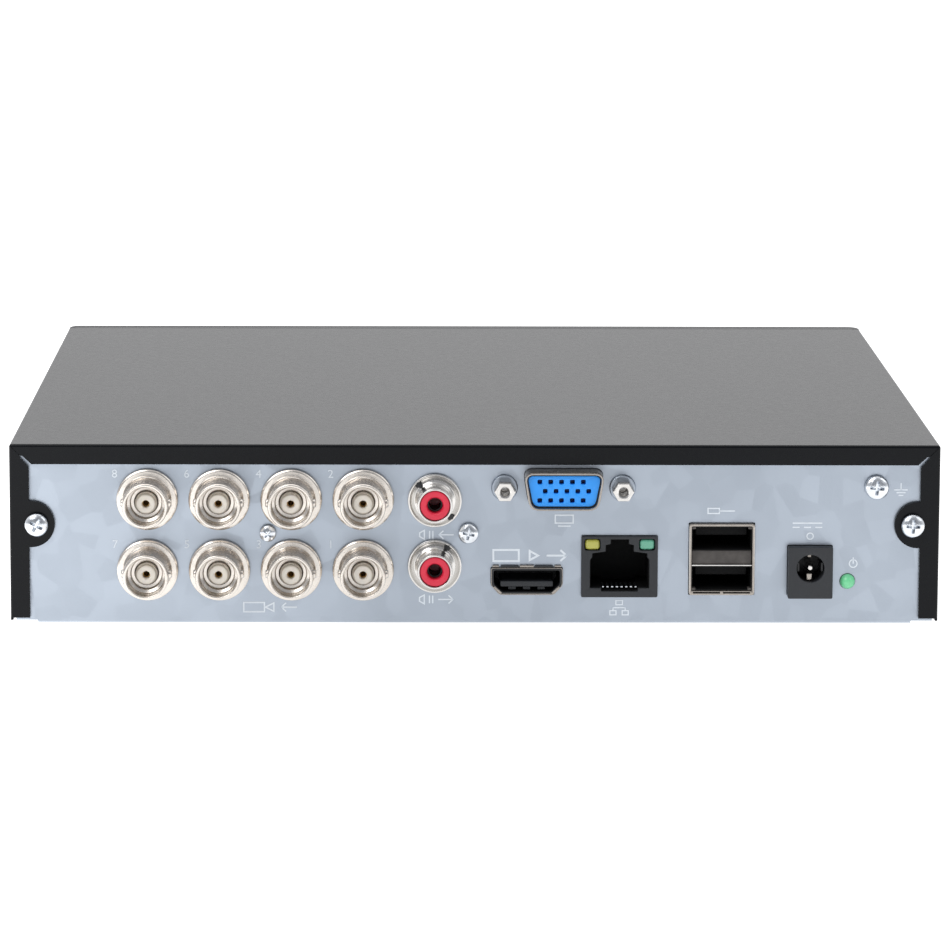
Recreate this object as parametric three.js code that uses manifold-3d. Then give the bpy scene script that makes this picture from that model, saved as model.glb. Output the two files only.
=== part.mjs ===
// Compact desktop video recorder: painted steel cover over a zinc-coated tray whose rear wall
// carries the connectors, with the boards and a 3.5 inch hard drive inside.
// Millimetres. +Z up, the bezel faces -Y, the connector panel faces +Y.
// Origin: centre of the bounding box in X and Y, on the plane that the feet stand on.

import * as THREE from 'three';
import { mergeVertices } from 'three/addons/utils/BufferGeometryUtils.js';
import Module from 'manifold-3d';

const wasm = await Module();
wasm.setup();

// ---------------------------------------------------------------- driving dimensions

const width = 197;                  // across the case
const caseDepth = 192;              // bezel front to the cover's rear flange
const jackReach = 9;                // BNC barrels stand this far behind the rear flange
const caseHeight = 38.45;           // steel case without its feet
const footHeight = 2.8; 
const sheet = 0.8;                  // steel sheet
const gap = 0.3;                    // clearance between neighbouring pieces

const bezelDepth = 5.0;
const coverLip = 4.25;              // rear lip along the top edge
const coverFlange = 4.15;           // rear flanges down both sides
const earRadius = 4.95;             // screw ears on the flanges
const earInset = 4.6;               // ear centre from the case's side
const coverScrewX = 92.77;
const coverScrewZ = 24.15;

const bncFirstX = 69.4;             // column of jacks 7 and 8
const bncPitch = 15.23;
const bncColumns = 4;
const bncTopZ = 29.45;
const bncBottomZ = 14.3;
const bncBaseRadius = 6.5;
const bncBarrelRadius = 4.8;
const bncSleeveRadius = 4.2;        // the part inside the housing
const bncBoreRadius = 4.05;
const bncInsulatorRadius = 2.05;
const bncRecess = 3.2;              // insulator's tip, in from the barrel's rim
const jackSink = 3.5;               // how far the jacks' sleeves reach into their housings
const audioX = 8.55;
const audioBore = 3.25;             // inside the phono shells
const audioInZ = 29.3;
const audioOutZ = 15.15;
const blockScrewLeftX = 43.9;
const blockScrewRightX = 1.4;
const blockScrewZ = 22.2;
const groundScrewX = -85.1;
const groundScrewZ = 32.2;
const vgaX = -18.7;
const vgaZ = 32.0;
const vgaStandoffSpacing = 25.0;
const hdmiX = -11.0;
const hdmiZ = 11.95;
const lanX = -30.7;
const usbX = -52.4;
const dcX = -71.15;
const dcHoleZ = 15.0;
const ledX = -79.2;
const ledZ = 11.9;

const boardTopZ = 8.7;              // main board's upper face
const boardThickness = 1.6;
const boardHalfWidth = 92.5;
const boardDepth = 78;

const driveLength = 147;            // 3.5 inch drive, lying across the case
const driveWidth = 101.6;
const platterRadius = 47.5;

// ---------------------------------------------------------------- planes worked out from them

const halfWidth = width / 2;
const frontY = -(caseDepth + jackReach) / 2;
const jackTipY = -frontY;
const coverBackY = frontY + caseDepth;
const coverBackInnerY = coverBackY - sheet;
const panelY = coverBackInnerY - gap;               // rear panel, outer face
const panelInnerY = panelY - sheet;
const bezelBackY = frontY + bezelDepth;
const frontWallY = bezelBackY + gap;                // tray's front wall, outer face
const frontWallInnerY = frontWallY + sheet;
const bottomZ = footHeight;
const topZ = bottomZ + caseHeight;
const floorZ = bottomZ + sheet;
const roofZ = topZ - sheet;
const coverWallX = halfWidth - sheet;               // cover's side walls, inner face
const trayX = coverWallX - gap;                     // tray's side walls, outer face
const boardBottomZ = boardTopZ - boardThickness;
const partZ = boardTopZ + gap;                      // underside of what stands on the board
const blockFrontY = panelInnerY - gap;              // front of the housings behind the panel
const boardBackY = blockFrontY - 0.2;
const boardFrontY = boardBackY - boardDepth;
const driveFrontY = frontWallInnerY + 1.0;
const driveBackY = driveFrontY + driveWidth;
const driveX = driveLength / 2;
const driveBottomZ = 7.1;

const bncJacks = [];
for (let column = 0; column < bncColumns; column += 1) {
  const x = bncFirstX - column * bncPitch;
  const topNumber = 2 * (bncColumns - column);
  bncJacks.push({ number: topNumber, x, z: bncTopZ });
  bncJacks.push({ number: topNumber - 1, x, z: bncBottomZ });
}

const audioJacks = [
  { name: 'audio_in', x: audioX, z: audioInZ },
  { name: 'audio_out', x: audioX, z: audioOutZ },
];

// ---------------------------------------------------------------- solids

const grid = 1e4;                   // points are snapped to 1/grid mm, so flush faces are flush

function toSolid(geometry) {
  const bare = geometry.clone();
  bare.deleteAttribute('normal');
  bare.deleteAttribute('uv');
  const merged = mergeVertices(bare, 1e-4);
  const corners = merged.index.array;
  const kept = [];
  for (let i = 0; i < corners.length; i += 3) {
    const [a, b, c] = [corners[i], corners[i + 1], corners[i + 2]];
    if (a !== b && b !== c && c !== a) kept.push(a, b, c);
  }
  return new wasm.Manifold(new wasm.Mesh({
    numProp: 3,
    vertProperties: Float32Array.from(merged.attributes.position.array,
      (value) => Math.round(value * grid) / grid),
    triVerts: new Uint32Array(kept),
  }));
}

function toGeometry(solid) {
  const mesh = solid.getMesh();
  const geometry = new THREE.BufferGeometry();
  geometry.setAttribute('position', new THREE.BufferAttribute(mesh.vertProperties, 3));
  geometry.setIndex(new THREE.BufferAttribute(mesh.triVerts, 1));
  geometry.computeVertexNormals();
  return geometry;
}

function join(solids) {
  return solids.reduce((whole, solid) => whole.add(solid));
}

function cut(solid, cutters) {
  return cutters.reduce((rest, cutter) => rest.subtract(cutter), solid);
}

// Box from its [low, high] spans.
function block([x0, x1], [y0, y1], [z0, z1]) {
  const box = new THREE.BoxGeometry(x1 - x0, y1 - y0, z1 - z0);
  box.translate((x0 + x1) / 2, (y0 + y1) / 2, (z0 + z1) / 2);
  return toSolid(box);
}

// Span of a given length around a centre.
function span(centre, length) {
  return [centre - length / 2, centre + length / 2];
}

function rodY(radius, [y0, y1], x, z, sides = 16) {
  const rod = new THREE.CylinderGeometry(radius, radius, y1 - y0, sides);
  rod.translate(x, (y0 + y1) / 2, z);
  return toSolid(rod);
}

function rodZ(radius, [z0, z1], x, y, sides = 16) {
  const rod = new THREE.CylinderGeometry(radius, radius, z1 - z0, sides);
  rod.rotateX(Math.PI / 2);
  rod.translate(x, y, (z0 + z1) / 2);
  return toSolid(rod);
}

// Solid of revolution about Y from [radius, y] points.
function turned(profile, sides) {
  const points = profile.map(([radius, y]) => new THREE.Vector2(radius, y));
  return toSolid(new THREE.LatheGeometry(points, sides));
}

// Ring of revolution: the same, with the profile closed on itself.
function turnedRing(profile, sides) {
  return turned([...profile, profile[0]], sides);
}

// Outline in the XZ plane with every corner rounded.
function roundedShape(points, radius) {
  const shape = new THREE.Shape();
  points.forEach((point, i) => {
    const corner = new THREE.Vector2(...point);
    const before = new THREE.Vector2(...points[(i + points.length - 1) % points.length]);
    const after = new THREE.Vector2(...points[(i + 1) % points.length]);
    const start = corner.clone().add(before.sub(corner).setLength(radius));
    const end = corner.clone().add(after.sub(corner).setLength(radius));
    if (i === 0) shape.moveTo(start.x, start.y);
    else shape.lineTo(start.x, start.y);
    shape.quadraticCurveTo(corner.x, corner.y, end.x, end.y);
  });
  shape.closePath();
  return shape;
}

// Outline in the XZ plane, extruded along Y.
function extrudedY(shape, [y0, y1]) {
  const body = new THREE.ExtrudeGeometry(shape, {
    depth: y1 - y0, bevelEnabled: false, curveSegments: 3,
  });
  body.rotateX(Math.PI / 2);
  body.translate(0, y1, 0);
  return toSolid(body);
}

// Outline in the XY plane, extruded along Z.
function extrudedZ(shape, [z0, z1]) {
  const body = new THREE.ExtrudeGeometry(shape, {
    depth: z1 - z0, bevelEnabled: false, curveSegments: 3,
  });
  body.translate(0, 0, z0);
  return toSolid(body);
}

// ---------------------------------------------------------------- outlines shared by two pieces

// D outline of the monitor socket, grown by a margin.
function vgaOutline(margin) {
  const halfTop = 8.6 + margin;
  const halfBottom = 7.3 + margin;
  const halfHeight = 4.05 + margin;
  return roundedShape([
    [vgaX - halfTop, vgaZ + halfHeight],
    [vgaX + halfTop, vgaZ + halfHeight],
    [vgaX + halfBottom, vgaZ - halfHeight],
    [vgaX - halfBottom, vgaZ - halfHeight],
  ], 2.2);
}

// Outline of the flat video socket: square shoulders above, slanted corners below.
function hdmiOutline(margin) {
  const half = 7.6 + margin;
  const halfBase = 5.8 + margin;
  const top = hdmiZ + 2.9 + margin;
  const knee = hdmiZ - 0.9 - margin / 2;
  const base = hdmiZ - 2.9 - margin;
  return roundedShape([
    [hdmiX - half, top], [hdmiX + half, top], [hdmiX + half, knee],
    [hdmiX + halfBase, base], [hdmiX - halfBase, base], [hdmiX - half, knee],
  ], 0.4);
}

const lanHalf = 8.0;
const lanTopZ = partZ + 12.65;
const usbHalf = 6.95;
const usbTopZ = partZ + 15.4;
const dcHalf = 4.75;
const dcTopZ = partZ + 10.6;
const ledRadius = 1.6;

// ---------------------------------------------------------------- steel case

const bosses = [                    // centres of the main board's standoffs
  [-86, boardFrontY + 6], [0, boardFrontY + 6], [86, boardFrontY + 6], [-89, 80], [80, 80],
];
const driveRail = 3.2;              // drive's screw line from its long edges
const drivePads = [
  [-60, driveFrontY + driveRail], [60, driveFrontY + driveRail],
  [-60, driveBackY - driveRail], [60, driveBackY - driveRail],
];
const windowX = [40, 85];
const windowZ = [16, 21];
const clipX = 84;
const clipZ = [29.5, 31.0];

function panelOpenings() {
  const through = [panelInnerY - 1, panelY + 1];
  const openings = [];
  for (const jack of bncJacks) {
    openings.push(rodY(bncSleeveRadius + 0.5, through, jack.x, jack.z, 12));
  }
  for (const jack of audioJacks) openings.push(rodY(4.4, through, jack.x, jack.z));
  for (const x of [blockScrewLeftX, blockScrewRightX]) {
    openings.push(rodY(1.7, through, x, blockScrewZ, 12));
  }
  for (const side of [-1, 1]) {
    openings.push(rodY(1.8, through, side * coverScrewX, coverScrewZ, 12));
    openings.push(rodY(1.8, through, vgaX + side * vgaStandoffSpacing / 2, vgaZ, 12));
  }
  openings.push(rodY(1.8, through, groundScrewX, groundScrewZ, 12));
  openings.push(rodY(ledRadius + gap, through, ledX, ledZ, 16));
  openings.push(extrudedY(vgaOutline(gap), through));
  openings.push(extrudedY(hdmiOutline(gap), through));
  openings.push(block(span(lanX, 2 * (lanHalf + gap)), through, [partZ - gap, lanTopZ + gap]));
  openings.push(block(span(usbX, 2 * (usbHalf + gap)), through, [partZ - gap, usbTopZ + gap]));
  openings.push(block(span(dcX, 2 * (dcHalf + gap)), through, [partZ - gap, dcTopZ + gap]));
  return openings;
}

function makeChassisTray() {
  const sideWallTopZ = 14;
  const frontWallTopZ = 36;
  const panelTopZ = roofZ - gap - 0.3;
  const wallThickX = [trayX - sheet, trayX];
  const notchX = 92.8;              // bend relief at the rear corners
  const wallEndY = 86.8;
  const sheets = [
    block([-trayX, trayX], [frontWallY, panelY], [bottomZ, floorZ]),
    block([-trayX, trayX], [panelInnerY, panelY], [bottomZ, panelTopZ]),
    block([-trayX, trayX], [frontWallY, frontWallInnerY], [bottomZ, frontWallTopZ]),
    block(wallThickX, [frontWallY, wallEndY], [bottomZ, sideWallTopZ]),
    block([-wallThickX[1], -wallThickX[0]], [frontWallY, wallEndY], [bottomZ, sideWallTopZ]),
  ];
  for (const [x, y] of bosses) sheets.push(rodZ(3, [floorZ - 0.4, boardBottomZ - gap], x, y, 12));
  for (const [x, y] of drivePads) {
    sheets.push(rodZ(2.8, [floorZ - 0.4, driveBottomZ - gap], x, y, 12));
  }
  const cutters = panelOpenings();
  for (const side of [-1, 1]) {
    const corner = side > 0 ? [notchX, 99] : [-99, -notchX];
    cutters.push(block(corner, [87, panelInnerY], [2, floorZ + 0.1]));
    cutters.push(block(corner, [panelInnerY - 0.1, 91], [2, bottomZ + 0.5]));
    const slotX = span(side * clipX, 8 + 2 * gap);
    cutters.push(block(slotX, [frontWallY - 1, frontWallInnerY + 1], [clipZ[0] - gap, clipZ[1] + gap]));
  }
  cutters.push(block([windowX[0] + 2, windowX[1] - 2], [frontWallY - 1, frontWallInnerY + 1], windowZ));
  const ventCount = 9;
  const ventPitch = 9;
  const firstVent = 15;             // from the drive's front edge
  for (let i = 0; i < ventCount; i += 1) {
    const y = driveFrontY + firstVent + i * ventPitch;
    cutters.push(block([-20, 20], span(y, 3), [2, floorZ + 1]));
  }
  return cut(join(sheets), cutters);
}

function makeTopCover() {
  const edgeZ = bottomZ + 0.6;      // lower edge of the side walls
  const flangeZ = bottomZ + 1.2;
  const rear = [coverBackInnerY, coverBackY];
  const pieces = [
    block([-halfWidth, halfWidth], [frontWallY, coverBackY], [roofZ, topZ]),
    block([-halfWidth, halfWidth], rear, [topZ - coverLip, topZ]),
  ];
  const cutters = [];
  const slotCount = 12;
  const slotPitch = 4.5;
  const firstSlotY = -66;
  const mitreLength = 4.8;          // slit from the inner corner, short of the outer one
  const mitreOffset = 1.5;
  for (const side of [-1, 1]) {
    const wall = side > 0 ? [coverWallX, halfWidth] : [-halfWidth, -coverWallX];
    const flange = side > 0 ? [halfWidth - coverFlange, halfWidth]
      : [-halfWidth, coverFlange - halfWidth];
    pieces.push(block(wall, [frontWallY, coverBackY], [edgeZ, topZ]));
    pieces.push(block(flange, rear, [flangeZ, topZ]));
    const ear = rodY(earRadius, rear, side * (halfWidth - earInset), coverScrewZ, 28);
    pieces.push(ear.intersect(block([-halfWidth, halfWidth], rear, [bottomZ, topZ])));
    cutters.push(rodY(1.8, [rear[0] - 1, rear[1] + 1], side * coverScrewX, coverScrewZ, 12));
    const mitre = new THREE.BoxGeometry(mitreLength, 4, 0.4);
    mitre.rotateY(-side * Math.PI / 4);
    mitre.translate(side * (halfWidth - coverFlange + mitreOffset), coverBackY,
      topZ - coverLip + mitreOffset);
    cutters.push(toSolid(mitre));
    for (let i = 0; i < slotCount; i += 1) {
      const y = firstSlotY + i * slotPitch;
      cutters.push(block([wall[0] - 1, wall[1] + 1], span(y, 1.8), [18, 28]));
    }
  }
  return cut(join(pieces), cutters);
}

// ---------------------------------------------------------------- plastic front and feet

function makeFrontBezel() {
  const wall = 2.2;
  const corner = 3;
  const outline = new THREE.Shape();
  outline.moveTo(-halfWidth, bezelBackY);
  outline.lineTo(-halfWidth, frontY + corner);
  outline.quadraticCurveTo(-halfWidth, frontY, corner - halfWidth, frontY);
  outline.lineTo(halfWidth - corner, frontY);
  outline.quadraticCurveTo(halfWidth, frontY, halfWidth, frontY + corner);
  outline.lineTo(halfWidth, bezelBackY);
  outline.closePath();
  const innerX = halfWidth - wall;
  const inside = [frontY + wall, bezelBackY + 1];
  const hollow = block([-innerX, innerX], inside, [bottomZ + wall, topZ - wall]);
  const opening = block([windowX[0] - gap, windowX[1] + gap], [frontY - 1, frontY + 4],
    [windowZ[0] - gap, windowZ[1] + gap]);
  const shell = cut(extrudedZ(outline, [bottomZ, topZ]), [hollow, opening]);
  const clips = [];
  for (const side of [-1, 1]) {
    const x = span(side * clipX, 8);
    clips.push(block(x, [frontY + 1, frontWallInnerY + 2], clipZ));
    clips.push(block(x, [frontWallInnerY + gap, frontWallInnerY + 2], [clipZ[0], clipZ[1] + 1.2]));
  }
  return join([shell, ...clips]);
}

function makeStatusWindow() {
  return block(windowX, [frontY + 0.1, frontY + 2.4], windowZ);
}

function makeFoot() {
  return turned([
    [0, 0], [7.2, 0], [8, 0.8], [8, footHeight - gap], [0, footHeight - gap],
  ], 16);
}

// ---------------------------------------------------------------- screws

// Pan-head screw: its head's underside at y = 0, the head towards +Y, the shank towards -Y.
function makeScrew(headRadius, headHeight, shankRadius, shankLength) {
  return turned([
    [0, -shankLength], [shankRadius, -shankLength], [shankRadius, 0], [headRadius, 0],
    [headRadius, headHeight * 0.45], [headRadius * 0.72, headHeight], [0, headHeight],
  ], 12);
}

// ---------------------------------------------------------------- jacks of the left half

// Bayonet jack; y = 0 is the rear panel's outer face.
function makeBncShell() {
  const tip = jackTipY - panelY;
  const base = [gap, 1.6];
  const boreFloor = 1.9;
  const sleeveEnd = panelInnerY - panelY - jackSink;
  const lugY = tip - 4.8;
  const barrel = turnedRing([
    [bncInsulatorRadius + gap, sleeveEnd], [bncSleeveRadius, sleeveEnd],
    [bncSleeveRadius, base[0]], [bncBaseRadius, base[0]], [bncBaseRadius, base[1]],
    [bncBarrelRadius, base[1]], [bncBarrelRadius, tip], [bncBoreRadius, tip],
    [bncBoreRadius, boreFloor], [bncInsulatorRadius + gap, boreFloor],
  ], 16);
  const lugs = [-1, 1].map((side) => {
    const lug = new THREE.CylinderGeometry(1, 1, 1.2, 8);
    lug.rotateZ(Math.PI / 2);
    lug.translate(side * (bncBarrelRadius + 0.1), lugY, 0);
    return toSolid(lug);
  });
  return join([barrel, ...lugs]);
}

// Moulded housing of the eight bayonet jacks, with the insulator bosses that fill their cores.
function makeBncBlock() {
  const blockX = [15.0, 77.2];
  const depth = 20;
  const sinkY = blockFrontY - jackSink - gap;
  const bossTipY = jackTipY - bncRecess;
  const cutters = [];
  const insulators = [];
  const contactBores = [];
  for (const jack of bncJacks) {
    cutters.push(rodY(bncSleeveRadius + 0.5, [sinkY, blockFrontY + 1], jack.x, jack.z, 12));
    insulators.push(rodY(bncInsulatorRadius, [sinkY - 1, bossTipY], jack.x, jack.z, 12));
    contactBores.push(rodY(1.45, [sinkY - 3, bossTipY + 1], jack.x, jack.z, 10));
  }
  cutters.push(rodY(1.6, [blockFrontY - 9, blockFrontY + 1], blockScrewLeftX, blockScrewZ, 12));
  const body = block(blockX, [blockFrontY - depth, blockFrontY], [partZ, 37]);
  return cut(join([cut(body, cutters), ...insulators]), contactBores);
}

// Centre contact, a split tube; y = 0 is the rear panel's outer face.
function makeBncContact() {
  const rearY = blockFrontY - jackSink - gap - 2.7 - panelY;
  const tip = jackTipY - panelY - bncRecess - 0.2;
  return turned([
    [0, rearY], [1.1, rearY], [1.1, tip], [0.8, tip], [0.8, tip - 5], [0, tip - 5],
  ], 10);
}

// Phono jack shell; y = 0 is the rear panel's outer face.
function makeAudioShell() {
  const sleeveEnd = panelInnerY - panelY - jackSink;
  const tip = 7.9;
  return turnedRing([
    [audioBore, sleeveEnd], [4.1, sleeveEnd], [4.1, gap], [5.7, gap], [5.7, 1.3],
    [audioBore + 0.5, 1.3], [audioBore + 0.5, tip], [audioBore, tip],
  ], 16);
}

// Red insulator of a phono jack, with the hole for the plug's pin.
function makeAudioInsulator() {
  const rearY = panelInnerY - panelY - jackSink;
  const tip = 7.4;
  return turned([
    [0, rearY], [audioBore - gap, rearY], [audioBore - gap, tip], [1.6, tip], [1.6, tip - 8.5],
    [0, tip - 8.5],
  ], 16);
}

function makeAudioJackHousing() {
  const body = block([-2.0, 14.6], [blockFrontY - 18, blockFrontY], [partZ, 36.6]);
  const cutters = audioJacks.map(
    (jack) => rodY(4.4, [blockFrontY - jackSink - gap, blockFrontY + 1], jack.x, jack.z));
  cutters.push(rodY(1.6, [blockFrontY - 9, blockFrontY + 1], blockScrewRightX, blockScrewZ, 12));
  return cut(body, cutters);
}

// ---------------------------------------------------------------- monitor socket

const vgaTipY = panelY + 6.0;
const vgaPlateY = [blockFrontY - sheet, blockFrontY];
const vgaWall = 0.5;

function makeVgaShell() {
  const plateSize = [30.8, 12.4];
  const plate = block(span(vgaX, plateSize[0]), vgaPlateY, span(vgaZ, plateSize[1]));
  const tube = extrudedY(vgaOutline(0), [vgaPlateY[0], vgaTipY]);
  const bore = extrudedY(vgaOutline(-vgaWall), [vgaPlateY[0] - 1, vgaTipY + 1]);
  const holes = [-1, 1].map(
    (side) => rodY(1.8, [vgaPlateY[0] - 1, vgaPlateY[1] + 1],
      vgaX + side * vgaStandoffSpacing / 2, vgaZ, 12));
  return cut(join([plate, tube]), [bore, ...holes]);
}

function makeVgaInsulator() {
  const rearDepth = 10;
  const rearZ = [25.7, 38.0];       // clear of the riser board below it
  const rearBlock = block(span(vgaX, 19.5),
    [vgaPlateY[0] - gap - rearDepth, vgaPlateY[0] - gap], rearZ);
  const face = vgaTipY - 0.9;
  const plug = extrudedY(vgaOutline(-vgaWall - gap), [vgaPlateY[0] - 2, face]);
  const holes = [];
  const pinPitch = 2.29;
  const rowPitch = 1.98;
  for (let row = -1; row <= 1; row += 1) {
    const shift = row === 0 ? -pinPitch / 4 : pinPitch / 4;
    for (let pin = -2; pin <= 2; pin += 1) {
      holes.push(rodY(0.5, [face - 4, face + 1], vgaX + shift + pin * pinPitch,
        vgaZ + row * rowPitch, 6));
    }
  }
  return cut(join([rearBlock, plug]), holes);
}

// Hexagonal jackscrew socket on its washer; y = 0 is the rear panel's outer face.
function makeStandoff() {
  const acrossFlats = 4.1;
  const hexLength = 5.0;
  const washerThickness = 0.6;
  const tip = gap + washerThickness + hexLength;
  const corner = acrossFlats / Math.sqrt(3);
  const hex = new THREE.CylinderGeometry(corner, corner, hexLength, 6);
  hex.translate(0, tip - hexLength / 2, 0);
  const washer = rodY(3.4, [gap, gap + washerThickness + 0.1], 0, 0, 16);
  const thread = rodY(1.3, [-4, gap + 1], 0, 0, 12);
  const bore = rodY(0.8, [tip - 4, tip + 1], 0, 0, 12);
  return cut(join([washer, toSolid(hex), thread]), [bore]);
}

// Riser board of the monitor socket on its pin header.
function makeVgaBoard() {
  const board = block([-35.5, -3.0], [60, blockFrontY - 0.5], [23.8, 25.4]);
  const header = block([-31, -7], [61.5, 64], [partZ, 24]);
  return join([board, header]);
}

// ---------------------------------------------------------------- sockets of the right half

const hdmiFaceY = panelY + 1.0;
const hdmiWall = 0.45;

function makeHdmiShell() {
  const body = extrudedY(hdmiOutline(0), [hdmiFaceY - 12, hdmiFaceY]);
  return cut(body, [extrudedY(hdmiOutline(-hdmiWall), [hdmiFaceY - 13, hdmiFaceY + 1])]);
}

function makeHdmiTongue() {
  const backZ = [hdmiZ - 2.2, hdmiZ + 2.2];
  const back = block(span(hdmiX, 10), [hdmiFaceY - 14, hdmiFaceY - 10], backZ);
  const tongue = block(span(hdmiX, 11.4), [hdmiFaceY - 11, hdmiFaceY - 0.6],
    [hdmiZ - 0.7, hdmiZ + 0.5]);
  return join([back, tongue]);
}

const lanFaceY = panelY + 1.0;
const lanLedX = 5.8;                // indicator centres from the jack's centre line
const lanLedZ = lanTopZ - 1.8;
const lanLedSize = [3.2, 2.3];

function makeLanJack() {
  const body = block(span(lanX, 2 * lanHalf), [lanFaceY - 21, lanFaceY], [partZ, lanTopZ]);
  const mouth = [lanFaceY - 14, lanFaceY + 1];
  const cutters = [
    block(span(lanX, 12.4), mouth, [partZ + 1.2, partZ + 9.2]),
    block(span(lanX, 6.6), mouth, [partZ + 9.1, partZ + 11.0]),
    block(span(lanX, 3.8), mouth, [partZ + 10.9, partZ + 12.0]),
  ];
  for (const side of [-1, 1]) {
    cutters.push(block(span(lanX + side * lanLedX, lanLedSize[0] + 2 * gap),
      [lanFaceY - 6, lanFaceY + 1], span(lanLedZ, lanLedSize[1] + 2 * gap)));
  }
  return cut(body, cutters);
}

function makeLanLed(side) {
  return block(span(lanX + side * lanLedX, lanLedSize[0]), [lanFaceY - 5.7, lanFaceY - 0.2],
    span(lanLedZ, lanLedSize[1]));
}

const usbFaceY = panelY + 1.0;
const usbDepth = 17;
const usbMouth = [12.9, 5.1];
const usbMouthZ = [partZ + 0.8 + usbMouth[1] / 2, usbTopZ - 0.8 - usbMouth[1] / 2];

function makeUsbShell() {
  const body = block(span(usbX, 2 * usbHalf), [usbFaceY - usbDepth, usbFaceY], [partZ, usbTopZ]);
  const mouths = usbMouthZ.map((z) => block(span(usbX, usbMouth[0]),
    [usbFaceY - usbDepth - 1, usbFaceY + 1], span(z, usbMouth[1])));
  return cut(body, mouths);
}

function makeUsbInsulator() {
  const backY = usbFaceY - usbDepth - gap;
  const back = block(span(usbX, 13), [backY - 1.5, backY], [partZ, usbTopZ - 0.3]);
  const tongues = usbMouthZ.map((z) => block(span(usbX, 11), [backY - 1, usbFaceY - 2.5],
    [z + 0.2, z + 2.0]));
  return join([back, ...tongues]);
}

const dcFaceY = panelY + 2.5;
const dcBoreFloorY = dcFaceY - 9.5;

function makeDcJack() {
  const body = block(span(dcX, 2 * dcHalf), [dcFaceY - 14, dcFaceY], [partZ, dcTopZ]);
  return cut(body, [
    rodY(3.0, [dcBoreFloorY, dcFaceY + 1], dcX, dcHoleZ, 20),
    rodY(1.3, [dcBoreFloorY - 3, dcBoreFloorY + 1], dcX, dcHoleZ, 12),
  ]);
}

function makeDcPin() {
  return rodY(1.0, [dcBoreFloorY - 2.7, dcFaceY - 1.0], dcX, dcHoleZ, 12);
}

// 3 mm indicator lying on its legs; y = 0 is the rear panel's outer face.
function makePowerLed() {
  const dome = turned([
    [0, -5.2], [1.9, -5.2], [1.9, -4.2], [ledRadius, -4.2], [ledRadius, 0.2], [1.35, 1.0],
    [0.8, 1.6], [0, 1.8],
  ], 16);
  const legs = [-1, 1].map((side) => join([
    block(span(side * 1.27, 0.5), [-7.6, -5.0], [-0.25, 0.25]),
    block(span(side * 1.27, 0.5), [-7.6, -7.1], [partZ - ledZ, 0.25]),
  ]));
  return join([dome, ...legs]);
}

// ---------------------------------------------------------------- boards

const socX = -58;                   // main chip, under its heat sink
const socY = 42;
const chipTopZ = boardTopZ + 1.6;
const coinCellX = 66;
const coinCellY = 40;
const dataHeaderY = 30;
const cableX = 87.5;

function makeMainBoard() {
  const board = block([-boardHalfWidth, boardHalfWidth], [boardFrontY, boardBackY],
    [boardBottomZ, boardTopZ]);
  const chipSize = 24;
  const chip = block(span(socX, chipSize), span(socY, chipSize), [boardTopZ - 0.2, chipTopZ]);
  const holes = bosses.map(([x, y]) => rodZ(1.6, [boardBottomZ - 1, boardTopZ + 1], x, y, 12));
  return cut(join([board, chip]), holes);
}

function makeHeatSink() {
  const size = 30;
  const height = 9;
  const finCount = 8;
  const finThickness = 1.4;
  const baseZ = chipTopZ + gap;
  const pieces = [block(span(socX, size), span(socY, size), [baseZ, baseZ + 2])];
  for (let i = 0; i < finCount; i += 1) {
    const x = socX + (size - finThickness) * (i / (finCount - 1) - 0.5);
    pieces.push(block(span(x, finThickness), span(socY, size), [baseZ + 1, baseZ + height]));
  }
  return join(pieces);
}

function makeCoinCell() {
  const radius = 10;
  const thickness = 3.2;
  return rodZ(radius, [partZ, partZ + thickness], coinCellX, coinCellY, 20);
}

// ---------------------------------------------------------------- hard drive

const driveDeckZ = 14.5;            // floor of the drive's platter chamber
const driveRimZ = 30.6;
const spindle = [-driveX + driveWidth / 2, (driveFrontY + driveBackY) / 2];
const armPivot = [spindle[0] + 52, spindle[1] - 24];
const armLength = 50;
const armParkAngle = THREE.MathUtils.degToRad(98);
const spindlePost = 4;
const pivotPost = 3;
const driveTailY = [spindle[1] - 30, spindle[1] + 30];   // span of the connectors

function makeHddBase() {
  const wall = 2.4;
  const rail = 6;
  const body = block([-driveX, driveX], [driveFrontY, driveBackY], [driveBottomZ, driveRimZ]);
  const chamberY = [driveFrontY + wall, driveBackY - wall];
  const cutters = [
    rodZ(platterRadius + 0.9, [driveDeckZ, driveRimZ + 1], ...spindle, 40),
    block([spindle[0] + 33, driveX - 6], chamberY, [driveDeckZ, driveRimZ + 1]),
    block([6 - driveX, driveX + 1], [driveFrontY + rail, driveBackY - rail],
      [driveBottomZ - 1, driveBottomZ + 2.4]),
    block([driveX - 9, driveX + 1], driveTailY, [driveBottomZ - 1, driveDeckZ - 1.2]),
  ];
  const posts = [
    rodZ(spindlePost, [driveDeckZ - 1, 26], ...spindle, 16),
    rodZ(pivotPost, [driveDeckZ - 1, 28], ...armPivot, 16),
  ];
  return join([cut(body, cutters), ...posts]);
}

function makeHddCover() {
  const lidZ = driveRimZ + gap;
  const lid = block([-driveX, driveX], [driveFrontY, driveBackY], [lidZ, lidZ + 1.2]);
  const raised = rodZ(platterRadius - 4, [lidZ + 1, lidZ + 2.1], ...spindle, 24);
  const raisedArm = block([spindle[0] + 20, driveX - 14], [driveFrontY + 12, driveBackY - 12],
    [lidZ + 1, lidZ + 2.1]);
  return join([lid, raised, raisedArm]);
}

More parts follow.
